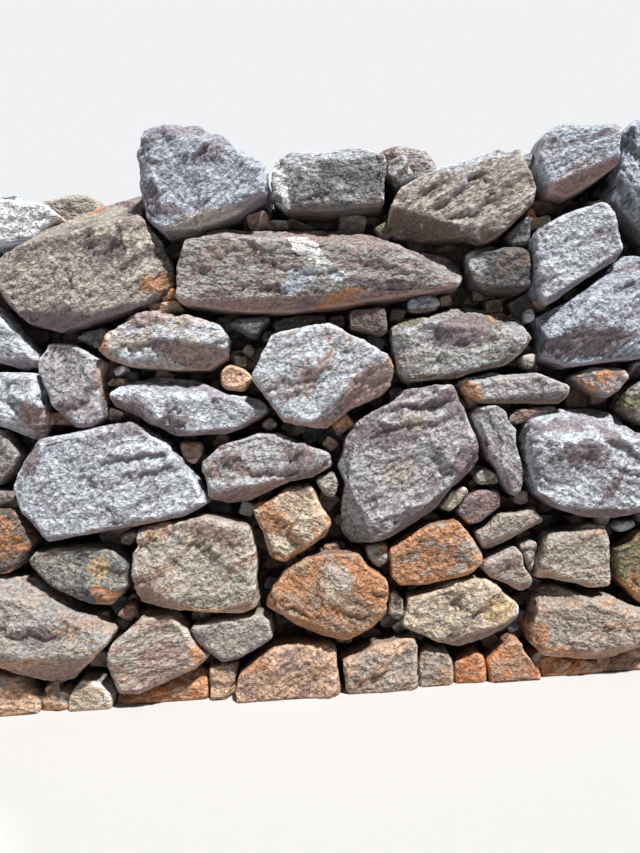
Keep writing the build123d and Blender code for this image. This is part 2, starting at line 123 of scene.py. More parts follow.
# %% A small palette
TONES = {
    "chalk": (0.62, 0.64, 0.64),
    "white": (0.405, 0.44, 0.48),
    "blue": (0.345, 0.385, 0.445),
    "steel": (0.22, 0.245, 0.29),
    "cool": (0.335, 0.335, 0.345),
    "grey": (0.26, 0.255, 0.245),
    "slate": (0.12, 0.12, 0.125),
    "warm": (0.335, 0.305, 0.265),
    "beige": (0.36, 0.325, 0.285),
    "cream": (0.43, 0.365, 0.28),
    "green": (0.225, 0.225, 0.195),
    "moss": (0.15, 0.145, 0.085),
    "ochre": (0.40, 0.29, 0.16),
    "rust": (0.37, 0.185, 0.095),
    "brick": (0.52, 0.34, 0.24),
    "clay": (0.40, 0.17, 0.08),
    "pink": (0.27, 0.185, 0.165),
    "earth": (0.37, 0.23, 0.155),
    "dust": (0.43, 0.29, 0.20),
    "purple": (0.17, 0.13, 0.14),
    # A tone of painted shade, for facets, patches and undersides that stand for shaded places.
    "shade_mauve": (0.21, 0.185, 0.21),
    "tan": (0.26, 0.19, 0.14),
    "taupe": (0.30, 0.26, 0.225),
    "brown": (0.13, 0.095, 0.08),
    "dark": (0.055, 0.048, 0.045),
}
print(len(TONES), "tones")

# %% [markdown]
# ## What each stone looks like
#
# For every large stone: its crust, the tone of its patches and how much of it they cover,
# the tone of its underside, and the bearing of its grain, in degrees from level. The
# underside tone is partly the tone of a fresh split and partly painted shade, which darkens
# the faces that look down, and patches in the mauve shade tone are painted shade too. In a
# foliated stone every pattern is drawn out along the grain, and more so the smaller its
# number is. The small stones are listed by their place instead, since several of them
# share one piece.

# %% The look of the large stones
PLAIN_GRAIN = 0.85
FOLIATED = {
    "pink_foliated": 0.42,
    "crown_long_slope": 0.50,
    "shoulder_long_bed": 0.65,
    "ochre_block": 0.60,
}
LOOKS = {
    "crown_pale_left": ("chalk", "white", 0.06, "white", 10),
    "crown_boulder": ("blue", "shade_mauve", 0.26, "shade_mauve", 35),
    "crown_square": ("cool", "slate", 0.52, "brown", 5),
    "crown_long_slope": ("warm", "cool", 0.36, "brown", 28),
    "crown_blue": ("blue", "shade_mauve", 0.28, "pink", 20),
    "crown_right": ("blue", "steel", 0.30, "slate", -60),
    "shoulder_great_beige": ("warm", "beige", 0.30, "purple", 30),
    "shoulder_long_bed": ("grey", "purple", 0.40, "pink", -8),
    "shoulder_dark_square": ("slate", "brown", 0.40, "dark", 40),
    "shoulder_pale_blue": ("white", "shade_mauve", 0.32, "shade_mauve", 15),
    "left_grey_white": ("white", "shade_mauve", 0.30, "shade_mauve", -20),
    "tall_grey": ("cool", "shade_mauve", 0.38, "purple", 60),
    "left_pale_green": ("white", "green", 0.28, "cool", 0),
    "great_pale_slab": ("white", "shade_mauve", 0.34, "shade_mauve", 10),
    "pale_bed": ("white", "shade_mauve", 0.26, "purple", -10),
    "cream_block": ("white", "beige", 0.46, "pink", -5),
    "centre_white": ("white", "pink", 0.30, "pink", 20),
    "mossy_ochre": ("cool", "green", 0.46, "brown", 10),
    "great_right": ("blue", "shade_mauve", 0.34, "shade_mauve", 15),
    "cream_rust": ("cool", "beige", 0.34, "brown", 5),
    "great_pale_right": ("white", "shade_mauve", 0.32, "purple", -20),
    "mottled_block": ("cool", "purple", 0.36, "purple", 18),
    "grey_granite": ("cool", "purple", 0.34, "pink", 10),
    "ochre_block": ("cream", "rust", 0.42, "rust", -30),
    "square_beige": ("warm", "taupe", 0.34, "earth", 20),
    "lower_green_grey": ("green", "slate", 0.42, "brown", -15),
    "lower_great_left": ("grey", "taupe", 0.42, "earth", -15),
    "pink_foliated": ("warm", "pink", 0.46, "earth", 8),
    "rust_hexagon": ("tan", "rust", 0.46, "rust", -30),
    "yellow_cream": ("cream", "beige", 0.40, "tan", 20),
    "pinkish_square": ("warm", "taupe", 0.40, "earth", 10),
    "lower_great_right": ("taupe", "earth", 0.30, "earth", -10),
}
print(len(LOOKS), "large stones")

# %% [markdown]
# ## Stains
#
# A few stains can be told from across a garden: the dark lens under the great beige
# stone, the rust on the hexagon, the purple split in the middle. The purple, mauve and pink
# ones are painted shade, on facets that look down. Each is an ellipse on the face, given by
# its middle, its two half widths and its turn, in millimetres and degrees. Noise will tear
# their edges later, so an ellipse is all that is needed.

# %% Stains by place
STAINS = [
    (65, 1336, 135, 17, 0, "white"),
    (-58, 1268, 16, 62, 8, "chalk"),
    (150, 1275, 40, 28, 20, "slate"),
    (385, 1290, 165, 14, 12, "white"),
    (15, 1088, 80, 20, -38, "chalk"),
    (60, 1040, 45, 18, -50, "white"),
    (-30, 1030, 50, 20, 30, "blue"),
    (425, 1040, 22, 30, 10, "cool"),
    (-435, 1250, 60, 16, -34, "purple"),
    (-485, 1135, 55, 25, -24, "purple"),
    (-560, 1268, 75, 10, 27, "rust"),
    (-375, 1050, 30, 25, 16, "rust"),
    (-370, 1262, 26, 32, 12, "shade_mauve"),
    (-338, 1226, 34, 14, -14, "shade_mauve"),
    (-356, 1343, 22, 10, 4, "shade_mauve"),
    (-262, 1238, 24, 8, 8, "shade_mauve"),
    (-245, 1200, 90, 16, 10, "beige"),
    (-620, 980, 65, 25, 6, "purple"),
    (-295, 865, 80, 30, -9, "pink"),
    (-515, 900, 15, 30, -4, "rust"),
    (-535, 825, 15, 60, -4, "pink"),
    (-710, 730, 30, 50, 6, "pink"),
    (-450, 730, 55, 30, -39, "purple"),
    (-705, 630, 20, 35, -4, "purple"),
    (-530, 440, 170, 12, 10, "pink"),
    (-45, 570, 35, 50, -4, "purple"),
    (-235, 495, 55, 10, 1, "pink"),
    (-790, 435, 45, 20, -4, "rust"),
    (-135, 445, 45, 30, -54, "rust"),
    (-275, 420, 75, 15, -24, "pink"),
    (70, 970, 65, 12, 11, "rust"),
    (175, 1005, 100, 15, 1, "purple"),
    (125, 755, 85, 40, 41, "pink"),
    (190, 815, 10, 25, -4, "rust"),
    (375, 880, 65, 35, 6, "purple"),
    (445, 930, 25, 20, -4, "ochre"),
    (500, 925, 20, 20, -4, "ochre"),
    (245, 915, 30, 20, -4, "moss"),
    (675, 830, 100, 30, 1, "purple"),
    (380, 730, 25, 30, -4, "rust"),
    (720, 735, 25, 20, -4, "rust"),
    (630, 555, 65, 20, 1, "purple"),
    (695, 460, 65, 10, 46, "purple"),
    (150, 635, 100, 20, -4, "purple"),
    (340, 700, 50, 30, -14, "purple"),
    (195, 545, 40, 30, 16, "beige"),
    (230, 660, 30, 25, -4, "warm"),
    (360, 560, 45, 35, 36, "purple"),
    (135, 395, 30, 15, 6, "purple"),
    (185, 360, 50, 20, 16, "rust"),
    (300, 390, 50, 15, 16, "rust"),
    (-570, 345, 30, 30, -4, "ochre"),
    (-555, 280, 35, 20, -14, "rust"),
    (-715, 200, 50, 15, -14, "purple"),
    (-685, 110, 135, 30, -4, "pink"),
    (-440, 280, 60, 30, -24, "pink"),
    (-340, 125, 20, 30, 26, "rust"),
    (-205, 90, 40, 15, 6, "rust"),
    (-95, 290, 35, 25, 16, "rust"),
    (75, 285, 45, 25, -44, "rust"),
    (20, 294, 44, 24, -30, "beige"),
    (6, 248, 12, 34, -8, "cream"),
    (0, 210, 35, 20, -4, "rust"),
    (170, 295, 30, 40, -4, "rust"),
    (260, 265, 80, 12, 6, "rust"),
    (405, 185, 30, 25, -4, "ochre"),
    (370, 120, 65, 20, 14, "pink"),
    (500, 115, 20, 30, -4, "rust"),
    (545, 65, 60, 10, -12, "rust"),
    (738, 212, 14, 30, -34, "rust"),
]
print(len(STAINS), "stains")

# %% [markdown]
# The small stones sit several to a piece, so each is known by its middle, in millimetres
# along and up the face. A stone of the front takes the entry whose middle is nearest.

# %% The look of the small stones
SMALL_LOOKS = [
    (247, 1301, "cool", "green", 0.40, "brown", 60),
    # This stone sits deep in shade, and its dark tones are painted shade.
    (540, 1116, "slate", "steel", 0.40, "dark", 20),
    (-872, 1115, "blue", "cool", 0.40, "pink", 0),
    (903, 1038, "steel", "blue", 0.40, "purple", 0),
    (-853, 651, "grey", "purple", 0.45, "brown", 40),
    (-839, 432, "brown", "rust", 0.46, "dark", 0),
    (-550, 927, "grey", "slate", 0.40, "dark", 0),
    (-500, 418, "warm", "brown", 0.44, "brown", 0),
    (-514, 231, "earth", "brown", 0.40, "brown", 0),
    (-869, 540, "grey", "brown", 0.45, "brown", 0),
    (-205, 800, "brick", "dust", 0.42, "rust", 5),
    # These two sit deep in shade, and their dark tones are painted shade.
    (-156, 930, "slate", "steel", 0.35, "dark", 10),
    (-34, 932, "dark", "slate", 0.35, "dark", 0),
    (141, 921, "purple", "brown", 0.45, "dark", 80),
    (280, 953, "blue", "cool", 0.40, "brown", 0),
    (12, 517, "warm", "green", 0.45, "brown", 0),
    (-327, 624, "earth", "pink", 0.45, "brown", 0),
    (386, 439, "pink", "purple", 0.45, "purple", 20),
    (327, 459, "cream", "green", 0.50, "green", 50),
    (495, 450, "warm", "brown", 0.40, "brown", 0),
    (410, 509, "warm", "grey", 0.45, "brown", 0),
    (713, 731, "cool", "rust", 0.42, "purple", 0),
    (850, 667, "moss", "grey", 0.46, "brown", 20),
    (876, 755, "steel", "moss", 0.45, "dark", 0),
    (912, 584, "cool", "grey", 0.40, "brown", 0),
    (523, 659, "purple", "pink", 0.45, "dark", 5),
    (444, 589, "cool", "purple", 0.40, "purple", -60),
    (536, 793, "beige", "warm", 0.40, "brown", 0),
    (547, 908, "white", "cool", 0.40, "cool", 0),
    (-251, 158, "warm", "purple", 0.42, "purple", 15),
    (261, 325, "taupe", "rust", 0.52, "rust", 10),
    (123, 336, "warm", "grey", 0.40, "brown", 0),
    (159, 202, "taupe", "brown", 0.40, "brown", 0),
    (449, 379, "warm", "taupe", 0.42, "pink", 20),
    (446, 277, "taupe", "cool", 0.40, "pink", 15),
    (501, 314, "warm", "taupe", 0.40, "brown", 0),
    (821, 267, "moss", "brown", 0.46, "rust", 20),
    (746, 361, "white", "cool", 0.30, "cool", 0),
    (879, 384, "blue", "cool", 0.35, "cool", 0),
    (-847, 33, "dust", "taupe", 0.45, "clay", 0),
    (-712, 11, "dust", "warm", 0.45, "clay", 0),
    (-621, 20, "cream", "white", 0.40, "dust", 0),
    (-429, 15, "clay", "dust", 0.45, "clay", 0),
    (-289, 33, "dust", "pink", 0.45, "brown", 0),
    (-118, 46, "dust", "pink", 0.44, "earth", 30),
    (116, 45, "taupe", "dust", 0.42, "earth", 15),
    (246, 31, "taupe", "earth", 0.42, "brown", 0),
    (334, 20, "clay", "earth", 0.40, "clay", 10),
    (438, 27, "earth", "clay", 0.46, "clay", 15),
    (581, 9, "clay", "dust", 0.42, "clay", 0),
    (769, 19, "earth", "dust", 0.45, "brown", 0),
    (893, 79, "warm", "dust", 0.45, "clay", 0),
]
print(len(SMALL_LOOKS), "small stones")

# %% [markdown]
# The back and the heads are built of the same granite. Their stones draw their looks from
# this short list, by a seeded choice.

# %% Looks for the stones that the front doesn't show
PLAIN_LOOKS = [
    ("white", "blue", 0.36, "cool", 10),
    ("cool", "purple", 0.40, "pink", 25),
    ("blue", "cool", 0.38, "pink", -15),
    ("warm", "grey", 0.42, "brown", 10),
    ("beige", "pink", 0.34, "pink", -10),
    ("cool", "green", 0.42, "brown", 5),
    ("warm", "rust", 0.46, "brown", 20),
    ("pink", "cool", 0.45, "brown", 0),
]
print(len(PLAIN_LOOKS), "looks for the rest")

# %% [markdown]
# ## One stone at a time
#
# A piece of the frame may hold one stone or twenty. They have to be worked one by one,
# because each has its own grain and its own colour, so a piece is first taken apart into
# its loose blocks. Merging the doubled corners comes first: the frame's meshes are loose
# triangles, and without it every triangle would count as a block.

# %% Taking a piece apart
SAME_CORNER = 0.00002


def loose_blocks(node):
    """A bmesh for each separate solid of one piece of the frame."""
    whole = bmesh.new()
    whole.from_mesh(frame["nodes"][node].data)
    bmesh.ops.remove_doubles(whole, verts=whole.verts, dist=SAME_CORNER)
    whole.verts.ensure_lookup_table()
    block_of = [-1] * len(whole.verts)
    count = 0
    for start in whole.verts:
        if block_of[start.index] >= 0:
            continue
        waiting = [start]
        block_of[start.index] = count
        while waiting:
            corner = waiting.pop()
            for edge in corner.link_edges:
                other = edge.other_vert(corner)
                if block_of[other.index] < 0:
                    block_of[other.index] = count
                    waiting.append(other)
        count += 1
    blocks = []
    for number in range(count):
        block = whole.copy()
        rest = [corner for corner in block.verts if block_of[corner.index] != number]
        bmesh.ops.delete(block, geom=rest, context="VERTS")
        blocks.append(block)
    whole.free()
    return blocks


print("foot stones:", len(loose_blocks("foot_stones")))

# %% [markdown]
# ## An even skin
#
# Displacement needs points everywhere, and a dressed block has them only at its corners.
# Subdividing long thin triangles gives long thin triangles again. A voxel remesh instead
# wraps the block in small, even squares, and rounds its arrises by about one voxel on the
# way, which is just how a split edge wears. The block is turned into the face's own frame
# for that, so that the squares lie along the face and no stair steps show on it.

# %% Wrapping a block in small squares
GRAIN_SIZE = 0.0054


def even_skin(block, voxel):
    """The block as a mesh of even squares, turned into the face's own frame."""
    block.transform(TO_FACE)
    mesh = bpy.data.meshes.new("blank")
    block.to_mesh(mesh)
    block.free()
    blank = bpy.data.objects.new("blank", mesh)
    bpy.context.scene.collection.objects.link(blank)
    remesh = blank.modifiers.new("even skin", "REMESH")
    remesh.mode = "VOXEL"
    remesh.voxel_size = voxel
    graph = bpy.context.evaluated_depsgraph_get()
    fine = bpy.data.meshes.new_from_object(blank.evaluated_get(graph))
    bpy.data.objects.remove(blank)
    bpy.data.meshes.remove(mesh)
    skin = bmesh.new()
    skin.from_mesh(fine)
    bpy.data.meshes.remove(fine)
    return skin


# %% [markdown]
# ## Rough granite
#
# Split granite shows several sizes of relief at once. The face swells gently, breaks in
# flat facets that each lean their own way, is covered in flakes that overlap down the face
# like torn slates, and ends in crystals of a few millimetres. All of it follows the stone's
# own grain, because coordinates are turned by its bearing before any noise is read. A facet
# is a cell of Voronoi noise with a slope drawn for that cell. A flake is one tooth of a saw
# wave across the grain, pushed to and fro by noise: a long side that faces up and takes the
# light, and a short side that faces down, which is painted in the stone's underside tone as
# painted shade.

# %% The relief of split granite
SWELL = 0.0060
SWELL_SCALE = 5.5
BEND = 0.010
BEND_SCALE = 12.0
FACET = 0.0110
FACET_SCALES = (8.0, 11.0, 11.0)
CHIP = 0.0036
CHIP_SCALES = (24.0, 33.0, 33.0)
CRYSTAL = 0.0020
CRYSTAL_SCALE = 95.0
CRYSTAL_STEPS = (0.9, 2.1, 2)
STEP_WIDTH = 0.22
LEAN_SHIFT = Vector((7, 3, 5))


def along_grain(place, bearing, shift):
    """A place on the face turned so that its first number runs along the grain."""
    swing = math.radians(bearing)
    along = place.x * math.cos(swing) + place.y * math.sin(swing)
    across = place.y * math.cos(swing) - place.x * math.sin(swing)
    return Vector((along, across, place.z)) + shift


def stretched(place, scales):
    """A place with its three numbers scaled one by one."""
    return Vector([number * scale for number, scale in zip(place, scales)])


def facet_rise(spread):
    """The rise of flat facets, each leaning its own way, with small steps between them."""
    far, centres = noise.voronoi(spread)
    rises = []
    for centre in centres[:2]:
        lean = noise.cell_vector(centre + LEAN_SHIFT) - Vector((0.5, 0.5, 0.5))
        rises.append(2 * lean.dot(spread - centre))
    own = min(1.0, (far[1] - far[0]) / STEP_WIDTH)
    return rises[0] * (0.5 + 0.5 * own) + rises[1] * (0.5 - 0.5 * own)


# %% [markdown]
# The flakes come in two sizes, and the smaller ones are called splinters here. Their teeth
# may not be finer than the skin can show, so each size has a least number of squares.

# %% Flakes and splinters
FLAKE = 0.0105
FLAKE_PITCH = 0.072
FLAKE_SQUARES = 8
SPLINTER = 0.0038
SPLINTER_PITCH = 0.026
SPLINTER_SQUARES = 4.5
SPLINTER_SHADE = 0.7
FACES_DOWN = 0.30
MEAN_RISE = 0.4
SWAY = 1.25
SWAY_SCALES = (0.28, 0.5, 0.5)
TEARS = ((0.26, 2.4), (0.11, 6.5))
GROUP_SCALE = 0.36
GROUP_CONTRAST = 1.7
GROUP_SHIFT = Vector((5, 9, 3))
FINE_SKIN = 0.0065


def flake_rise(grain, pitch):
    """The rise of torn flakes across the grain, and how much the place faces down."""
    step = grain / pitch
    turn = step.y + SWAY * noise.noise(stretched(step, SWAY_SCALES))
    for reach, scale in TEARS:
        turn += reach * noise.noise(step * scale)
    group = noise.noise(step * GROUP_SCALE + GROUP_SHIFT)
    amount = min(1.0, max(0.0, 0.5 + GROUP_CONTRAST * group))
    place = turn - math.floor(turn)
    if place < FACES_DOWN:
        return amount * place / FACES_DOWN, amount
    return amount * (1 - place) / (1 - FACES_DOWN), 0.0


def rough_height(grain, voxel):
    """How far the split surface stands out, in metres, and how much it faces down."""
    swell = noise.noise(grain * SWELL_SCALE)
    bent = grain + BEND * noise.noise_vector(grain * BEND_SCALE)
    facet = facet_rise(stretched(bent, FACET_SCALES))
    chip = facet_rise(stretched(bent, CHIP_SCALES))
    flake, flake_down = flake_rise(grain, max(FLAKE_PITCH, FLAKE_SQUARES * voxel))
    splinter, splinter_down = flake_rise(grain, max(SPLINTER_PITCH, SPLINTER_SQUARES * voxel))
    crystal = noise.fractal(grain * CRYSTAL_SCALE, *CRYSTAL_STEPS)
    fine = min(1.0, FINE_SKIN / voxel)
    flakes = FLAKE * (flake - MEAN_RISE) + SPLINTER * (splinter - MEAN_RISE)
    height = SWELL * swell + FACET * facet + flakes + fine * (CHIP * chip + CRYSTAL * crystal)
    return height, max(flake_down, SPLINTER_SHADE * splinter_down)


print("relief of a stone at its middle",
      round(rough_height(Vector((0.1, 0.2, 0)), GRAIN_SIZE)[0] * 1000, 2), "mm")

# %% [markdown]
# ## Facets that face down
#
# The dark patches on a pale face are mostly small facets that look down, where a flake
# has split off below, and lie in shade. Their purple, mauve or pink tone is painted shade
# over that real shade. So each such stain also gets its shape: the surface comes out from
# the lower edge of the patch to its upper edge, and falls back slowly above.

# %% Carving the facets
# Stains in these tones are painted shade on facets that look down.
SHADED_FACET_TONES = ("purple", "shade_mauve", "pink")
FACET_SLOPE = 0.42
FACET_MOST = 0.013
FACET_FADE = 0.055
FACET_END = 1.25
FACET_END_FADE = 0.45
EDGE_TEARS = ((14, 0.022), (48, 0.008))


def stain_frame(places, entry):
    """Each place in one stain's own frame, in half widths along and up the stain."""
    along, up, half_along, half_up, turned, _ = entry
    swing = math.radians(turned)
    across = places[:, 0] * 1000 - along
    rise = places[:, 1] * 1000 - up
    long_way = (across * math.cos(swing) + rise * math.sin(swing)) / half_along
    short_way = (rise * math.cos(swing) - across * math.sin(swing)) / half_up
    return long_way, short_way


def torn_places(skin):
    """The place of each point, shifted to and fro so that stains get torn edges."""
    return np.array([
        sum((noise.noise_vector(point.co * scale) * reach for scale, reach in EDGE_TEARS), point.co)
        for point in skin.verts
    ])


def facet_height(places):
    """How far the carved facets bring each face place out, in metres."""
    height = np.zeros(len(places))
    for entry in STAINS:
        if entry[5] not in SHADED_FACET_TONES:
            continue
        half_up = entry[3] / 1000
        long_way, short_way = stain_frame(places, entry)
        wide = np.clip((FACET_END - np.abs(long_way)) / FACET_END_FADE, 0, 1)
        ramp = np.clip((short_way + 1) / 2, 0, 1)
        fade = np.exp(-np.clip(short_way - 1, 0, None) * half_up / FACET_FADE)
        most = min(FACET_SLOPE * half_up, FACET_MOST)
        height = np.maximum(height, most * wide * ramp * fade)
    return height


# %% [markdown]
# ## Dressing one block
#
# Now the steps come together. Every point of the skin moves out along the surface by the
# relief, and a little more on the sides, which closes the joints to a finger's width. Only
# the outer part of a front stone ever shows, so the rest is sliced off and its rim runs
# straight back to the hearting, which saves most of the points. Stones of the crown and of
# the ends show their whole depth and are kept whole.

# %% Roughening and trimming
SHOWN_DEPTH = 0.056
FRONT_LEAF = 0.200
SWELL_OUT = 0.0010
JOINT_CLOSE = 0.0045
FLAKE_SHADE = 0.8
UNDERSIDE_CALM = 0.4
SIDE_CALM = 0.55
CUT_WIDTH = 0.00001


def roughen(skin, voxel, bearing, shift, strength, carved):
    """Moves each point of a skin out by the relief of split granite."""
    skin.normal_update()
    facets = np.zeros(len(skin.verts))
    if carved:
        facets = facet_height(torn_places(skin)) / strength
    fall = skin.verts.layers.float["fall"]
    moves = []
    for point, facet in zip(skin.verts, facets):
        height, down = rough_height(along_grain(point.co, bearing, shift), voxel)
        height *= 1 - UNDERSIDE_CALM * point[fall]
        height += facet * max(0.0, point.normal.z)
        # The down-facing side of a flake takes a share of the underside tone, as painted shade.
        point[fall] = max(point[fall], FLAKE_SHADE * down)
        sideways = 1.0 - abs(point.normal.z)
        height *= strength * (1 - SIDE_CALM * sideways)
        moves.append(point.normal * (height + SWELL_OUT + JOINT_CLOSE * sideways))
    for point, move in zip(skin.verts, moves):
        point.co += move


def trim_behind(skin, depth):
    """Cuts a front stone off behind its shown part and runs its rim to the hearting."""
    everything = skin.verts[:] + skin.edges[:] + skin.faces[:]
    bmesh.ops.bisect_plane(skin, geom=everything, dist=CUT_WIDTH, plane_co=(0, 0, -depth),
                           plane_no=(0, 0, 1), clear_inner=True)
    rim = [edge for edge in skin.edges if edge.is_boundary]
    if not rim:
        return
    run = bmesh.ops.extrude_edge_only(skin, edges=rim)["geom"]
    tail = [part for part in run if isinstance(part, bmesh.types.BMVert)]
    for point in tail:
        point.co.z = -FRONT_LEAF
    bmesh.ops.holes_fill(skin, edges=[edge for edge in skin.edges if edge.is_boundary])
    bmesh.ops.recalc_face_normals(skin, faces=skin.faces)


# %% [markdown]
# ## Colour by point
#
# Crust, patches and stains are stored on the points as attributes, so that they stay with
# the stone. Each point also carries its place along the grain, which the material's noise
# reads, and values of painted light: a hollow is painted darker and a ridge paler, as
# painted shade and a painted highlight, and the side of a joint is painted darker with its
# depth, as painted shade with an earthy tint.

# %% Stains on an array of points
STAIN_CORNERS = 1.4
STAIN_REACH = 1.7
SAME_TONE = 0.001


def stain_amounts(places):
    """The strongest stain at each face place, as colours, with its amount last."""
    amounts = np.zeros((len(places), 4))
    for entry in STAINS:
        long_way, short_way = stain_frame(places, entry)
        reach = np.abs(long_way) ** STAIN_CORNERS + np.abs(short_way) ** STAIN_CORNERS
        amount = np.clip(STAIN_REACH - reach, 0, 1)
        stronger = amount > amounts[:, 3]
        amounts[stronger, :3] = TONES[entry[5]]
        amounts[stronger, 3] = amount[stronger]
    return amounts


def stain_softness(stain):
    """One where a stain has soaked in, and nought where it is a facet with a clean edge."""
    facet = np.zeros(len(stain), bool)
    for tone in SHADED_FACET_TONES:
        facet |= np.abs(stain[:, :3] - TONES[tone]).sum(1) < SAME_TONE
    return np.where(facet, 0.0, 1.0)


def hollowness(skin):
    """How far each point lies below the mean of its neighbours, in metres."""
    values = np.zeros(len(skin.verts))
    for number, point in enumerate(skin.verts):
        around = Vector()
        for edge in point.link_edges:
            around += edge.other_vert(point).co
        if point.link_edges:
            around /= len(point.link_edges)
            values[number] = (around - point.co).dot(point.normal)
    return values


# %% [markdown]
# The underside of a stone is painted in a tone of its own, partly the tone of a fresh
# split and partly painted shade, which darkens what looks down. Which points look down is
# read from the skin before the relief is added, so the change of tone follows the stone's
# real facets and not every small bump; the down-facing sides of flakes are added to it
# during the relief. A top gathers dust, which dulls every tone on it a little. The sides of
# a front stone get painted shade, with an earthy tint, with their depth in the joint, but
# the crown and the heads are open and get none.

# %% Writing the attributes
HOLLOW_SHARE = 0.25
TOP_DUST = 0.30
TOP_FROM = 0.70
TOP_OVER = 0.25
DIRT_SHADE_FROM = 0.028
DIRT_SHADE_OVER = 0.045
CROWN_ABOVE = 1.16
CROWN_TOP = 0.25
CROWN_BACK = -0.3
HEAD_BEYOND = 0.905


def joint_dirt_and_shade(places, turned):
    """How much painted shade, with an earthy tint of dirt, each point of a front stone gets by its
    place, from nought to one.
    """
    dirt_and_shade = np.clip((-DIRT_SHADE_FROM - places[:, 2]) / DIRT_SHADE_OVER, 0, 1)
    open_side = (turned[:, 1] > CROWN_TOP) | (turned[:, 2] < CROWN_BACK)
    open_crown = (places[:, 1] > CROWN_ABOVE) & open_side
    dirt_and_shade[open_crown | (np.abs(places[:, 0]) > HEAD_BEYOND)] = 0
    return dirt_and_shade


def paint(skin, voxel, look, bearing, shift, underside_shade, stained, leafiness=PLAIN_GRAIN):
    """Stores the colours and the grain of one stone on its points."""
    crust, patch, share, under, _ = look
    places = np.array([point.co for point in skin.verts])
    hollow = hollowness(skin)
    count = len(places)
    crust_tone = np.ones((count, 4))
    crust_tone[:, :3] = TONES[crust]
    # What looks down takes the underside tone: partly a fresh split's tone, partly painted shade.
    crust_tone[:, :3] += (np.array(TONES[under]) - crust_tone[:, :3]) * underside_shade[:, None]
    patch_tone = np.ones((count, 4))
    patch_tone[:, :3] = TONES[patch]
    patch_tone[:, 3] = share
    turned = np.array([point.normal for point in skin.verts])
    stain = stain_amounts(torn_places(skin)) if stained else np.zeros((count, 4))
    painted_light_and_softness = np.zeros((count, 4))
    # A painted highlight on ridges and painted shade in hollows.
    painted_light_and_softness[:, 0] = np.clip(0.5 - hollow / (HOLLOW_SHARE * voxel), 0, 1)
    # Painted shade, with an earthy tint, deeper in a joint.
    painted_light_and_softness[:, 1] = joint_dirt_and_shade(places, turned) if stained else 0
    painted_light_and_softness[:, 2] = stain_softness(stain)
    painted_light_and_softness[:, 3] = underside_shade
    dust = 1 - TOP_DUST * np.clip((turned[:, 1] - TOP_FROM) / TOP_OVER, 0, 1)
    for tone in (crust_tone, patch_tone, stain):
        tone[:, :3] *= dust[:, None]
    grain = np.array([along_grain(point.co, bearing, shift) for point in skin.verts])
    grain[:, 0] *= leafiness
    return {"crust": crust_tone, "patch": patch_tone, "stain": stain, "painted_light_and_softness": painted_light_and_softness,
            "grain": grain}


# %% [markdown]
# ## From stones to pieces
#
# The stones of one piece of the frame are joined into one mesh again, turned back from the
# face's frame into the wall's, and given their attributes. The new piece is then laid: it
# gets its granite, stands for the dressed blocks, and belongs to the one body of the wall.

# %% Joining dressed stones
def join_stones(name, dressed):
    """One object from a list of skins and their painted attributes."""
    whole = bmesh.new()
    for skin, _ in dressed:
        part = bpy.data.meshes.new("part")
        skin.to_mesh(part)
        whole.from_mesh(part)
        bpy.data.meshes.remove(part)
        skin.free()
    whole.transform(TO_WALL)
    for point in whole.verts:
        point.co.z = max(0.0, point.co.z)
    mesh = bpy.data.meshes.new(name)
    whole.to_mesh(mesh)
    whole.free()
    for layer in ("crust", "patch", "stain", "painted_light_and_softness"):
        values = np.concatenate([paints[layer] for _, paints in dressed])
        colours = mesh.color_attributes.new(layer, "FLOAT_COLOR", "POINT")
        colours.data.foreach_set("color", values.astype(np.float32).ravel())
    grain = mesh.attributes.new("grain", "FLOAT_VECTOR", "POINT")
    values = np.concatenate([paints["grain"] for _, paints in dressed])
    grain.data.foreach_set("vector", values.astype(np.float32).ravel())
    mesh.shade_smooth()
    piece = bpy.data.objects.new(name, mesh)
    bpy.context.scene.collection.objects.link(piece)
    return piece


def lay(name, dressed, slot, stands_for=None):
    """The finished piece of some stones, in its granite and fixed to the wall."""
    piece = join_stones(name, dressed)
    piece.data.materials.append(GRANITES[slot])
    if stands_for:
        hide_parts(stands_for)
    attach(piece, "root")
    return piece


# %% [markdown]
# ## The granite material
#
# One recipe serves every granite, and only its contrast and its depth of relief change.
# From large to small: patches of the second tone with torn edges, stains, a mottling along
# the grain, painted shade in hollows and painted highlights on ridges, and at last dark
# mica and white crystals. A bump of flakes, chips and grains finishes what the mesh is
# too coarse to show.

# %% Small helpers for nodes
def add_node(tree, kind, **settings):
    """A new node with some of its settings made."""
    node = tree.nodes.new(kind)
    for key, value in settings.items():
        setattr(node, key, value)
    return node


def add_noise(tree, vector, scale, detail, roughness, distortion=0.0):
    """A noise texture that reads a vector, and gives its grey value."""
    node = add_node(tree, "ShaderNodeTexNoise")
    node.inputs["Scale"].default_value = scale
    node.inputs["Detail"].default_value = detail
    node.inputs["Roughness"].default_value = roughness
    node.inputs["Distortion"].default_value = distortion
    tree.links.new(vector, node.inputs["Vector"])
    return node.outputs["Fac"]


def add_cells(tree, vector, scale):
    """A texture of flat-sided cells, like the facets of a split crystal."""
    node = add_node(tree, "ShaderNodeTexVoronoi", distance="MANHATTAN")
    node.inputs["Scale"].default_value = scale
    tree.links.new(vector, node.inputs["Vector"])
    return node


def add_math(tree, operation, first, second):
    """A sum, product or the like of two values, of which either may be a number."""
    node = add_node(tree, "ShaderNodeMath", operation=operation)
    for socket, value in zip(node.inputs, (first, second)):
        if isinstance(value, (int, float)):
            socket.default_value = value
        else:
            tree.links.new(value, socket)
    return node.outputs[0]


def add_ramp(tree, value, low, high, low_to, high_to):
    """A value stretched from one range onto another, and held inside it."""
    node = add_node(tree, "ShaderNodeMapRange")
    for name, number in (("From Min", low), ("From Max", high), ("To Min", low_to),
                         ("To Max", high_to)):
        node.inputs[name].default_value = number
    tree.links.new(value, node.inputs["Value"])
    return node.outputs["Result"]


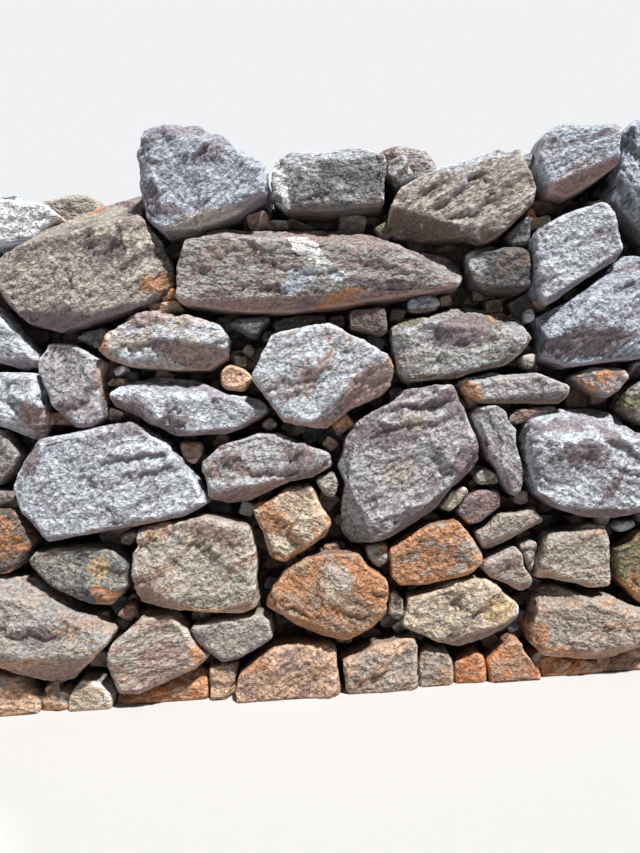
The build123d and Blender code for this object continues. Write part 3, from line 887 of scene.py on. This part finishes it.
def add_mix(tree, factor, first, second, blend="MIX"):
    """Two colours mixed by a factor."""
    node = add_node(tree, "ShaderNodeMix", data_type="RGBA", blend_type=blend)
    for socket, value in ((node.inputs["Factor"], factor), (node.inputs["A"], first),
                          (node.inputs["B"], second)):
        if isinstance(value, (int, float, tuple)):
            socket.default_value = value
        else:
            tree.links.new(value, socket)
    return node.outputs["Result"]


# %% [markdown]
# The steps go in this order: the stone's own two tones first, then its stains, some of which
# are painted shade, then the mottle with the painted shade and highlight of the relief, and
# the painted shade of the joints, with an earthy tint, over everything. Each step is a
# function that takes the colour so far. They all read what the points of the stone say.

# %% What the points say
def read_points(tree):
    """The tones, the painted shade and highlight, the stain softness and the grain that are stored
    on a stone's points.
    """
    crust, patch, stain, painted_light_and_softness, grain = [
        add_node(tree, "ShaderNodeAttribute", attribute_name=layer)
        for layer in ("crust", "patch", "stain", "painted_light_and_softness", "grain")
    ]
    parts = add_node(tree, "ShaderNodeSeparateColor")
    tree.links.new(painted_light_and_softness.outputs["Color"], parts.inputs["Color"])
    return {
        "crust": crust.outputs["Color"],
        "patch": patch.outputs["Color"],
        "patch share": patch.outputs["Alpha"],
        "stain": stain.outputs["Color"],
        "stain amount": stain.outputs["Alpha"],
        "relief_light": parts.outputs["Red"],
        "dirt_and_shade": parts.outputs["Green"],
        "softness": parts.outputs["Blue"],
        "underside shade": painted_light_and_softness.outputs["Alpha"],
        "grain": grain.outputs["Vector"],
    }


def split_cells(tree, grain, scales):
    """Cells of some sizes, bent along the grain so that their edges are torn."""
    wave = add_node(tree, "ShaderNodeTexNoise")
    wave.inputs["Scale"].default_value = 38
    wave.inputs["Detail"].default_value = 3
    bend = add_node(tree, "ShaderNodeVectorMath", operation="MULTIPLY_ADD")
    bend.inputs[1].default_value = (0.022, 0.022, 0.022)
    tree.links.new(grain, wave.inputs["Vector"])
    tree.links.new(wave.outputs["Color"], bend.inputs[0])
    tree.links.new(grain, bend.inputs[2])
    return [add_cells(tree, bend.outputs["Vector"], scale) for scale in scales]


# %% [markdown]
# The patches of the second tone grow with the share that the points carry. A stain is torn
# by noise as well, and a little less where it is a facet with a clean edge.

# %% The stone's own tones and its stains
def own_tones(tree, points, cell_value):
    """The crust with its patches of the second tone."""
    broad = add_noise(tree, points["grain"], scale=17, detail=8, roughness=0.70, distortion=0.5)
    jut = add_math(tree, "MULTIPLY", add_math(tree, "SUBTRACT", cell_value, 0.5), 0.07)
    edge = add_math(tree, "SUBTRACT", add_math(tree, "ADD", broad, jut), 0.75)
    grown = add_math(tree, "ADD", edge, add_math(tree, "MULTIPLY", points["patch share"], 0.5))
    patches = add_ramp(tree, grown, low=-0.015, high=0.025, low_to=0.0, high_to=0.88)
    # Patches in the mauve shade tone are painted shade.
    return add_mix(tree, patches, points["crust"], points["patch"])


def stain_cover(tree, points):
    """How much of the stain shows at each place."""
    noisy = add_noise(tree, points["grain"], scale=60, detail=7, roughness=0.75, distortion=0.4)
    reach = add_ramp(tree, points["softness"], low=0.0, high=1.0, low_to=2.4, high_to=3.2)
    torn = add_math(tree, "MULTIPLY", add_math(tree, "SUBTRACT", noisy, 0.5), reach)
    soaked = add_math(tree, "ADD", points["stain amount"], torn)
    return add_math(
        tree, "MULTIPLY", add_ramp(tree, soaked, low=0.45, high=0.58, low_to=0.0, high_to=0.85),
        add_ramp(tree, points["stain amount"], low=0.0, high=0.12, low_to=0.0, high_to=1.0))


# %% [markdown]
# The mottle and the painted shade and highlight of the relief only tint: each step
# multiplies the colour by a tone near white. Mica and quartz are single crystals, so they
# are small spots of a tone of their own.

# %% Wear, crystals and dirt
def mottle_and_relief_light(tree, points, colour, mottle, cell_value, contrast):
    """The colour mottled along the grain, with a painted highlight on ridges and painted shade in
    hollows.
    """
    blotch = add_ramp(tree, mottle, low=0.33, high=0.67, low_to=0.0, high_to=1.0)
    dull = (0.86 / contrast, 0.85 / contrast, 0.84 / contrast, 1)
    tints = (
        (blotch, dull, (1.14, 1.14, 1.15, 1)),
        (cell_value, (0.91, 0.90, 0.90, 1), (1.09, 1.09, 1.10, 1)),
        # A painted highlight on ridges and painted shade in hollows.
        (points["relief_light"], (0.54, 0.51, 0.50, 1), (1.26, 1.27, 1.28, 1)),
    )
    for amount, low_tint, high_tint in tints:
        tint = add_mix(tree, amount, low_tint, high_tint)
        colour = add_mix(tree, 1.0, colour, tint, "MULTIPLY")
    return colour


def crystals_dirt_and_shade(tree, points, colour):
    """Dark mica, white quartz, and over them the painted shade of the joints, with an earthy tint.
    """
    mica = add_noise(tree, points["grain"], scale=330, detail=2, roughness=0.6)
    spots = add_ramp(tree, mica, low=0.32, high=0.40, low_to=0.32, high_to=0.0)
    colour = add_mix(tree, spots, colour, (0.06, 0.055, 0.06, 1))
    quartz = add_noise(tree, points["grain"], scale=260, detail=3, roughness=0.6)
    spots = add_ramp(tree, quartz, low=0.62, high=0.70, low_to=0.0, high_to=0.32)
    colour = add_mix(tree, spots, colour, (0.86, 0.87, 0.90, 1))
    # The painted shade of the joints, with an earthy tint.
    dirt_and_shade = add_math(tree, "MULTIPLY", points["dirt_and_shade"], 0.9)
    return add_mix(tree, dirt_and_shade, colour, (0.026, 0.020, 0.018, 1))


# %% [markdown]
# The bump has the flakes and chips of the cells and a grain of noise. It is calmer on
# undersides and on clean facets, which have had less weather.

# %% The fine relief
def fine_relief(tree, points, flakes, chips, stained):
    """The height of what the mesh is too coarse to show, in metres."""
    grains = add_noise(tree, points["grain"], scale=72, detail=2, roughness=0.70)
    height = add_math(tree, "ADD", add_math(tree, "MULTIPLY", flakes, 0.0050),
                      add_math(tree, "MULTIPLY", chips, 0.0016))
    height = add_math(tree, "ADD", height, add_math(tree, "MULTIPLY", grains, 0.0105))
    clean = add_ramp(tree, points["softness"], low=0.0, high=1.0, low_to=0.45, high_to=0.0)
    calm = add_math(tree, "MAXIMUM", add_math(tree, "MULTIPLY", stained, clean),
                    add_math(tree, "MULTIPLY", points["underside shade"], 0.3))
    return add_math(tree, "MULTIPLY", height, add_math(tree, "SUBTRACT", 1.0, calm))


# %% The whole recipe
def granite(name, contrast, depth):
    """Weathered split granite that reads its tones from the stone's own points."""
    material = bpy.data.materials.new(name)
    material.use_nodes = True
    tree = material.node_tree
    shader = tree.nodes["Principled BSDF"]
    shader.inputs["Specular IOR Level"].default_value = 0.28

    points = read_points(tree)
    flakes, chips = split_cells(tree, points["grain"], (48, 125))
    cell_values = add_node(tree, "ShaderNodeSeparateColor")
    tree.links.new(flakes.outputs["Color"], cell_values.inputs["Color"])
    mottle = add_noise(tree, points["grain"], scale=170, detail=5, roughness=0.75)

    colour = own_tones(tree, points, cell_values.outputs["Red"])
    stained = stain_cover(tree, points)
    colour = add_mix(tree, stained, colour, points["stain"])
    colour = mottle_and_relief_light(tree, points, colour, mottle, cell_values.outputs["Green"], contrast)
    colour = crystals_dirt_and_shade(tree, points, colour)
    tree.links.new(colour, shader.inputs["Base Color"])
    tree.links.new(add_ramp(tree, mottle, low=0.3, high=0.7, low_to=0.95, high_to=0.80),
                   shader.inputs["Roughness"])

    relief = add_node(tree, "ShaderNodeBump")
    relief.inputs["Strength"].default_value = 1.0
    relief.inputs["Distance"].default_value = depth
    height = fine_relief(tree, points, flakes.outputs["Distance"], chips.outputs["Distance"],
                         stained)
    tree.links.new(height, relief.inputs["Height"])
    tree.links.new(relief.outputs["Normal"], shader.inputs["Normal"])
    return material


# %% One granite for each slot
CONTRAST_AND_DEPTH = {
    "granite_pale": (0.96, 0.70),
    "granite_blue": (0.98, 0.78),
    "granite_warm": (0.98, 0.86),
    "granite_rust": (1.0, 0.88),
    "granite_mossy": (1.0, 0.86),
    "granite_mixed": (1.0, 0.86),
    "hearting_mortar": (1.1, 1.0),
}
GRANITES = {slot: granite(slot, *values) for slot, values in CONTRAST_AND_DEPTH.items()}
SLOT_OF = {part["node"]: part["material_slot"] for part in frame["record"]["subparts"]}

# %% [markdown]
# ## The front
#
# Every stone of the front is dressed by the steps above. Its relief and its noise start at
# a place of their own, drawn from a seeded number for that stone, so that no two stones
# share a pattern and the wall comes out the same each time.

# %% Dressing the front leaf
WHOLE_ABOVE = 1.20
WHOLE_BEYOND = 0.915
NOISE_REACH = 40
SEED_STEP = 7919
SEED_START = 13
UNDERSIDE_SHADE_FROM = 0.30
UNDERSIDE_SHADE_OVER = 0.24
SMALL_STONE = 0.12
SMALL_STRENGTH = 0.6


def stone_shift(number):
    """A place far off in the noise that belongs to one stone."""
    draw = random.Random(number * SEED_STEP + SEED_START)
    return Vector([draw.uniform(-NOISE_REACH, NOISE_REACH) for _ in range(3)])


def look_near(middle):
    """The small stone's look whose middle is nearest."""
    return min(SMALL_LOOKS, key=lambda entry: math.hypot(
        entry[0] - middle.x * 1000, entry[1] - middle.y * 1000))[2:]


def dress(block, voxel, look, number, strength, trim, stained, leafiness=PLAIN_GRAIN,
          wrap=even_skin):
    """One block made rough, trimmed and painted."""
    shift = stone_shift(number)
    bearing = look[4]
    skin = wrap(block, voxel)
    skin.normal_update()
    # Faces that look down are marked for the underside tone, which is partly painted shade.
    fall = skin.verts.layers.float.new("fall")
    for point in skin.verts:
        point[fall] = min(1.0, max(0.0, (-point.normal.y - UNDERSIDE_SHADE_FROM) / UNDERSIDE_SHADE_OVER))
    roughen(skin, voxel, bearing, shift, strength, stained)
    if trim:
        trim_behind(skin, SHOWN_DEPTH)
    skin.normal_update()
    fall = skin.verts.layers.float["fall"]
    underside_shade = np.array([point[fall] for point in skin.verts])
    skin.verts.layers.float.remove(fall)
    paints = paint(skin, voxel, look, bearing, shift, underside_shade, stained, leafiness)
    return skin, paints


tally = 0
stone_number = 0
front_nodes = list(LOOKS) + ["small_stones_crown", "small_stones_left", "small_stones_middle",
                             "small_stones_right", "small_stones_lower", "foot_stones"]
for node in front_nodes:
    dressed = []
    for block in loose_blocks(node):
        corners = face_place(np.array([corner.co for corner in block.verts]))
        low, high = corners.min(0), corners.max(0)
        middle = Vector((low + high) / 2)
        look = LOOKS.get(node) or look_near(middle)
        whole = high[1] > WHOLE_ABOVE or np.abs(corners[:, 0]).max() > WHOLE_BEYOND
        size = min(high[0] - low[0], high[1] - low[1])
        strength = 1.0 if size > SMALL_STONE else SMALL_STRENGTH
        stone_number += 1
        dressed.append(dress(block, GRAIN_SIZE, look, stone_number, strength, not whole, True,
                             FOLIATED.get(node, PLAIN_GRAIN)))
    piece = lay("rough_" + node, dressed, SLOT_OF[node], node)
    tally += len(piece.data.polygons)
print(stone_number, "front stones,", tally, "faces")

# %% [markdown]
# ## Pinnings
#
# Where big stones leave a gap, the mason drives in chips of stone, which are called
# pinnings, and here and there a lump of mortar has stayed. Each is a small block whose
# corners are knocked about. It is listed by its middle, its length and height, its turn,
# and how far it stands back from the face line, in millimetres and degrees, with its two
# tones. A skin of squares would round so small a stone like a pebble, so it keeps its flat
# faces and gets worn edges instead.

# %% Pinnings by place
PINNINGS = [
    (-122, 1195, 48, 30, 8, 22, "pink", "brown"),
    (-70, 1186, 46, 20, -4, 28, "grey", "brown"),
    (200, 1153, 34, 34, 30, 20, "moss", "grey"),
    (572, 1162, 18, 26, 10, 18, "clay", "brown"),
    (596, 1141, 50, 20, 6, 24, "moss", "grey"),
    (-733, 1163, 64, 22, 14, 14, "warm", "dust"),
    (-368, 990, 64, 26, 4, 20, "dust", "pink"),
    (-358, 1024, 34, 20, 10, 30, "clay", "brown"),
    (-495, 842, 22, 14, 20, 18, "chalk", "warm"),
    (-505, 814, 36, 13, -12, 16, "brick", "rust"),
    (-515, 728, 22, 30, 70, 22, "cream", "moss"),
    (-655, 729, 60, 28, -8, 26, "earth", "brown"),
    (-600, 692, 40, 20, 10, 30, "clay", "brown"),
    (-786, 530, 50, 42, 10, 24, "grey", "brown"),
    (56, 670, 44, 36, 38, 26, "rust", "brick"),
    (20, 620, 20, 30, 50, 30, "earth", "pink"),
    (-130, 678, 24, 18, 30, 30, "warm", "grey"),
    (-190, 846, 26, 20, 0, 30, "moss", "warm"),
    (-168, 870, 22, 16, 40, 32, "grey", "brown"),
    (60, 930, 36, 20, 0, 34, "brown", "grey"),
    (215, 935, 30, 22, -20, 34, "brown", "dark"),
    (340, 962, 34, 20, 10, 34, "brown", "pink"),
    (585, 940, 26, 22, 30, 34, "earth", "brown"),
    (-250, 650, 30, 22, 20, 34, "brown", "pink"),
    (-200, 470, 24, 30, -20, 30, "brown", "grey"),
    (-506, 455, 30, 26, 30, 34, "brown", "pink"),
    (10, 350, 30, 18, 10, 34, "earth", "brown"),
    (60, 150, 40, 24, 20, 30, "grey", "warm"),
    (25, 124, 26, 20, -10, 28, "dust", "warm"),
    (168, 140, 22, 22, 30, 30, "grey", "brown"),
    (-336, 205, 34, 24, -20, 32, "brown", "grey"),
    (-590, 215, 26, 22, 10, 30, "dust", "brown"),
    (-720, 52, 30, 24, 20, 12, "dust", "cream"),
    (-742, 22, 26, 26, -10, 10, "cream", "dust"),
    (-690, 34, 28, 22, 35, 6, "warm", "clay"),
    (512, 40, 26, 30, 20, 12, "dust", "grey"),
    (668, 20, 30, 26, -20, 10, "earth", "dust"),
    (848, 60, 26, 30, 10, 18, "warm", "dust"),
    (720, 690, 30, 22, 14, 34, "brown", "grey"),
    (500, 720, 40, 20, -6, 34, "brown", "earth"),
    (560, 690, 44, 18, 4, 30, "purple", "brown"),
    (392, 700, 22, 30, 12, 30, "grey", "brown"),
    (375, 545, 22, 28, -20, 34, "grey", "moss"),
    (478, 500, 18, 30, 10, 30, "warm", "grey"),
    (582, 1304, 30, 36, 10, 40, "steel", "cool"),
    (640, 385, 40, 18, 8, 34, "brown", "earth"),
    (700, 375, 26, 18, -8, 30, "warm", "grey"),
]
PINNING_DEPTH = 0.070
PINNING_SKIN = 0.0060
PINNING_STRENGTH = 0.45
CHIP_EDGE = 0.0022
CHIP_FACE = 0.0120
CHIP_CUTS = 2
CHIP_SHARP = math.radians(28)
CHIP_SHARE = 0.40
KNOCKS = (0.17, 0.17, 0.10)


def knocked_block(place, size, turned, draw):
    """A small block in the wall with its corners knocked about, in metres and degrees."""
    block = bmesh.new()
    bmesh.ops.create_cube(block, size=1)
    for corner in block.verts:
        corner.co += Vector([draw.uniform(-knock, knock) for knock in KNOCKS])
    bmesh.ops.scale(block, vec=size, verts=block.verts)
    bmesh.ops.rotate(block, verts=block.verts,
                     matrix=Matrix.Rotation(math.radians(turned), 3, "Z"))
    bmesh.ops.translate(block, vec=place, verts=block.verts)
    block.transform(TO_WALL)
    return block


def chip_skin(block, _):
    """A chip with worn edges and flat faces, cut up where they are long. It needs no squares."""
    block.transform(TO_FACE)
    bmesh.ops.bevel(block, geom=block.edges[:], offset=CHIP_EDGE, offset_type="OFFSET",
                    segments=1, profile=0.5, affect="EDGES", material=-1, clamp_overlap=True)
    for cut in range(CHIP_CUTS):
        long_edges = [edge for edge in block.edges if edge.calc_length() > CHIP_FACE]
        bmesh.ops.subdivide_edges(block, edges=long_edges, cuts=1, use_grid_fill=True)
    return block


dressed = []
for along, up, wide, high, turned, back, crust, patch in PINNINGS:
    stone_number += 1
    place = Vector((along / 1000, up / 1000, -back / 1000 - PINNING_DEPTH / 2))
    size = Vector((wide / 1000, high / 1000, PINNING_DEPTH))
    block = knocked_block(place, size, turned, random.Random(stone_number))
    dressed.append(dress(block, PINNING_SKIN, (crust, patch, CHIP_SHARE, "brown", turned),
                         stone_number, PINNING_STRENGTH, False, True, wrap=chip_skin))
pinnings = lay("pinnings", dressed, "granite_mixed")
pinnings.data.set_sharp_from_angle(angle=CHIP_SHARP)
print(len(PINNINGS), "pinnings,", len(pinnings.data.polygons), "faces")

# %% [markdown]
# ## Rubble in the joints
#
# Deeper in, every joint holds smaller rubble. Nobody would place it by hand. A seeded
# search tries places on the front, keeps those where no stone stands, and sizes a chip to
# the gap that it finds, by the distance to the nearest stone.

# %% A search for gaps
RUBBLE_TRIES = 1500
RUBBLE_BACK = 0.056
RUBBLE_SHIFT = (-0.010, 0.012)
RUBBLE_DEPTH = 0.036
RUBBLE_SKIN = 0.0105
RUBBLE_STRENGTH = 0.4
RUBBLE_END = 0.90
RUBBLE_RISE = (0.02, 1.20)
RUBBLE_LENGTHS = (1.0, 1.5)
RUBBLE_HEIGHTS = (0.7, 1.0)
RUBBLE_TURN = 35
RUBBLE_TONES = (("grey", "brown"), ("pink", "brown"), ("warm", "grey"), ("earth", "brown"),
                ("steel", "slate"), ("moss", "grey"))
SIGHT_FROM = 0.10
SIGHT_LENGTH = 0.26
LEAST_ROOM = 0.006
ROOM_FILL = 2.3
WIDEST_CHIP = 0.050
stones = bmesh.new()
for node in front_nodes:
    stones.from_mesh(frame["nodes"][node].data)
stone_tree = BVHTree.FromBMesh(stones)
stones.free()
draw = random.Random(41)
rubble = []
taken = []
for attempt in range(RUBBLE_TRIES):
    along = draw.uniform(-RUBBLE_END, RUBBLE_END)
    up = draw.uniform(*RUBBLE_RISE)
    if stone_tree.ray_cast(on_face(along, up, SIGHT_FROM), -OUT, SIGHT_LENGTH)[0]:
        continue
    room = stone_tree.find_nearest(on_face(along, up, -RUBBLE_BACK))[3]
    if room < LEAST_ROOM:
        continue
    width = min(WIDEST_CHIP, ROOM_FILL * room)
    if any(math.hypot(along - other[0], up - other[1]) < 0.5 * (width + other[2])
           for other in taken):
        continue
    taken.append((along, up, width))
    stone_number += 1
    back = RUBBLE_BACK + draw.uniform(*RUBBLE_SHIFT)
    size = Vector((width * draw.uniform(*RUBBLE_LENGTHS), width * draw.uniform(*RUBBLE_HEIGHTS),
                   RUBBLE_DEPTH))
    place = Vector((along, up, -back - RUBBLE_DEPTH / 2))
    block = knocked_block(place, size, draw.uniform(-RUBBLE_TURN, RUBBLE_TURN), draw)
    crust, patch = draw.choice(RUBBLE_TONES)
    rubble.append(dress(block, RUBBLE_SKIN, (crust, patch, CHIP_SHARE, "brown", 0),
                        stone_number, RUBBLE_STRENGTH, False, True, wrap=chip_skin))
joint_rubble = lay("joint_rubble", rubble, "granite_mixed")
joint_rubble.data.set_sharp_from_angle(angle=CHIP_SHARP)
print(len(rubble), "chips in the joints,", len(joint_rubble.data.polygons), "faces")

# %% [markdown]
# ## The back leaf and the heads
#
# Nobody stands close behind a retaining wall, but it still has to be the same wall. The
# same steps dress it with larger squares. Its blocks have plain edges, so they are
# bevelled first, or the skin would keep them too sharp for rubble.

# %% Dressing the back and the heads
BACK_SIZE = 0.0135
BACK_EDGE = 0.012
BACK_STRENGTH = 1.2
FLAT_WITHIN = math.radians(2)
SHARP_BEYOND = 0.5


def soften(block):
    """Wears the plain edges of a block before it is wrapped."""
    bmesh.ops.dissolve_limit(block, angle_limit=FLAT_WITHIN, verts=block.verts,
                             edges=block.edges)
    sharp = [edge for edge in block.edges
             if len(edge.link_faces) == 2 and edge.calc_face_angle(0) > SHARP_BEYOND]
    bmesh.ops.bevel(block, geom=sharp, offset=BACK_EDGE, offset_type="OFFSET", segments=2,
                    profile=0.5, affect="EDGES", material=-1, clamp_overlap=True)


back_tally = 0
for node in ("back_foot", "back_lower", "back_middle", "back_shoulder", "back_crown",
             "head_left", "head_right"):
    dressed = []
    for block in loose_blocks(node):
        stone_number += 1
        look = PLAIN_LOOKS[random.Random(stone_number).randrange(len(PLAIN_LOOKS))]
        soften(block)
        dressed.append(dress(block, BACK_SIZE, look, stone_number, BACK_STRENGTH, False, False))
    piece = lay("rough_" + node, dressed, SLOT_OF[node], node)
    back_tally += len(piece.data.polygons)
print(back_tally, "faces behind")

# %% [markdown]
# ## The hearting
#
# Between the leaves lies what masons call hearting: rubble too small to face with, packed
# in earthy mortar. It shows in the wide joints and along the top, as dark lumps. The same
# skin serves, and a cell noise with large steps turns its flat sides into packed rubble.

# %% Packing the hearting
HEARTING_SIZE = 0.016
LUMP = 0.016
LUMP_SCALE = 20
LUMP_STEP = 2.2
LUMP_GRIT = 0.003
LUMP_GRIT_SCALE = 60
LUMP_GRIT_STEPS = (0.9, 2.0, 2)
LUMP_SINK = 0.004


def lumpy(skin):
    """Pushes a skin out into lumps of packed rubble."""
    skin.normal_update()
    moves = []
    for point in skin.verts:
        near, far = noise.voronoi(point.co * LUMP_SCALE)[0][:2]
        lump = min(1.0, (far - near) * LUMP_STEP)
        grit = noise.fractal(point.co * LUMP_GRIT_SCALE, *LUMP_GRIT_STEPS)
        moves.append(point.normal * (LUMP * (lump - 0.5) + LUMP_GRIT * grit - LUMP_SINK))
    for point, move in zip(skin.verts, moves):
        point.co += move
    skin.normal_update()


def paint_fill(skin, look, shift):
    """A skin of fill with its paints, which gets no painted shade on what looks down."""
    none_down = np.zeros(len(skin.verts))
    return skin, paint(skin, HEARTING_SIZE, look, 0, Vector(shift), none_down, False)


look = ("brown", "warm", 0.42, "dark", 0)
packed = []
for block in loose_blocks("hearting"):
    skin = even_skin(block, HEARTING_SIZE)
    lumpy(skin)
    packed.append(paint_fill(skin, look, (3, 1, 2)))
rubble_fill = lay("packed_hearting", packed, "hearting_mortar", "hearting")
print(len(rubble_fill.data.polygons), "faces of hearting")

# %% [markdown]
# ## The joint packing
#
# A joint in such a wall isn't open to the hearting. A hand's breadth behind the face it is
# packed with mortar and chips, and that is what the eye meets in a wide joint. Its near-black
# tone is partly dark mortar and partly painted shade, the shade deep in a joint. It is made
# as one thin rough sheet that the stones pass through: a grid, thickened, then lumped. At
# each end the joints are open to the side as well, so a narrow fill closes them there.

# %% A rough sheet behind the joints
PACKING_SIZE = (1.84, 1.20, 1)
PACKING_SQUARES = (132, 90)
PACKING_PLACE = (0, 0.615, -0.082)
PACKING_THICKNESS = 0.02
END_FILL = (0.055, 1.16, 0.155)
END_FILL_ALONG = 0.876
END_FILL_UP = 0.600
END_FILL_BACK = 0.118
sheet = bmesh.new()
bmesh.ops.create_grid(sheet, x_segments=PACKING_SQUARES[0], y_segments=PACKING_SQUARES[1],
                      size=0.5)
bmesh.ops.scale(sheet, vec=PACKING_SIZE, verts=sheet.verts)
bmesh.ops.translate(sheet, vec=PACKING_PLACE, verts=sheet.verts)
bmesh.ops.solidify(sheet, geom=sheet.faces[:], thickness=PACKING_THICKNESS)
skins = [sheet]
for side in (-1, 1):
    fill = bmesh.new()
    bmesh.ops.create_cube(fill, size=1)
    bmesh.ops.scale(fill, vec=END_FILL, verts=fill.verts)
    place = (side * END_FILL_ALONG, END_FILL_UP, -END_FILL_BACK)
    bmesh.ops.translate(fill, vec=place, verts=fill.verts)
    fill.transform(TO_WALL)
    skins.append(even_skin(fill, HEARTING_SIZE))
# Near black: dark mortar with painted shade.
look = ("dark", "brown", 0.50, "dark", 0)
packed = []
for skin in skins:
    lumpy(skin)
    packed.append(paint_fill(skin, look, (1, 5, 2)))
packing = lay("joint_packing", packed, "hearting_mortar")
print(len(packing.data.polygons), "faces of packing")

# %% [markdown]
# ## Floor and light
#
# The floor is plain and pale, and the world fills the shadows with a little cool light. The
# camera sees the world as near white, and the stones are lit by a dimmer one, so the
# background costs no contrast.

# %% The floor
FLOOR_REACH = 6.0
FLOOR_TONE = (0.405, 0.405, 0.405, 1)
ground = bmesh.new()
bmesh.ops.create_grid(ground, x_segments=1, y_segments=1, size=FLOOR_REACH)
floor_mesh = bpy.data.meshes.new("floor")
ground.to_mesh(floor_mesh)
ground.free()
floor = bpy.data.objects.new("floor", floor_mesh)
bpy.context.scene.collection.objects.link(floor)
pale = bpy.data.materials.new("pale_floor")
pale.use_nodes = True
floor_shader = pale.node_tree.nodes["Principled BSDF"]
floor_shader.inputs["Base Color"].default_value = FLOOR_TONE
floor_shader.inputs["Roughness"].default_value = 0.9
floor.data.materials.append(pale)

# %% [markdown]
# The key lamp stands high in front on the right, and throws the short shadows that tell
# one facet from the next. A softer one, a third as strong, stands behind and lights the back.

# %% The lamps and the world
def add_sun(name, towards, strength, softness, tint):
    """A distant lamp that shines from a direction, with a soft edge in degrees."""
    lamp = bpy.data.lights.new(name, "SUN")
    lamp.energy = strength
    lamp.angle = math.radians(softness)
    lamp.color = tint
    holder = bpy.data.objects.new(name, lamp)
    holder.matrix_world = Vector(towards).to_track_quat("Z", "Y").to_matrix().to_4x4()
    bpy.context.scene.collection.objects.link(holder)


add_sun("key", (0.40, -0.34, 1.0), strength=7.7, softness=4.0, tint=(1.0, 0.98, 0.95))
add_sun("behind", (-0.6, 1.0, 0.75), strength=2.6, softness=9, tint=(0.98, 0.99, 1.0))

SKY_ON_STONE = (0.78, 0.87, 1.0, 1)
SKY_SEEN = (0.92, 0.93, 0.95, 1)
world = bpy.data.worlds.new("studio")
bpy.context.scene.world = world
world.use_nodes = True
sky = world.node_tree
background = sky.nodes["Background"]
seen = add_node(sky, "ShaderNodeLightPath")
sky.links.new(add_mix(sky, seen.outputs["Is Camera Ray"], SKY_ON_STONE, SKY_SEEN),
              background.inputs["Color"])
sky.links.new(add_ramp(sky, seen.outputs["Is Camera Ray"], low=0, high=1, low_to=0.10,
                       high_to=0.95), background.inputs["Strength"])
bpy.context.scene.view_settings.view_transform = "Standard"
print("lamps and world set")
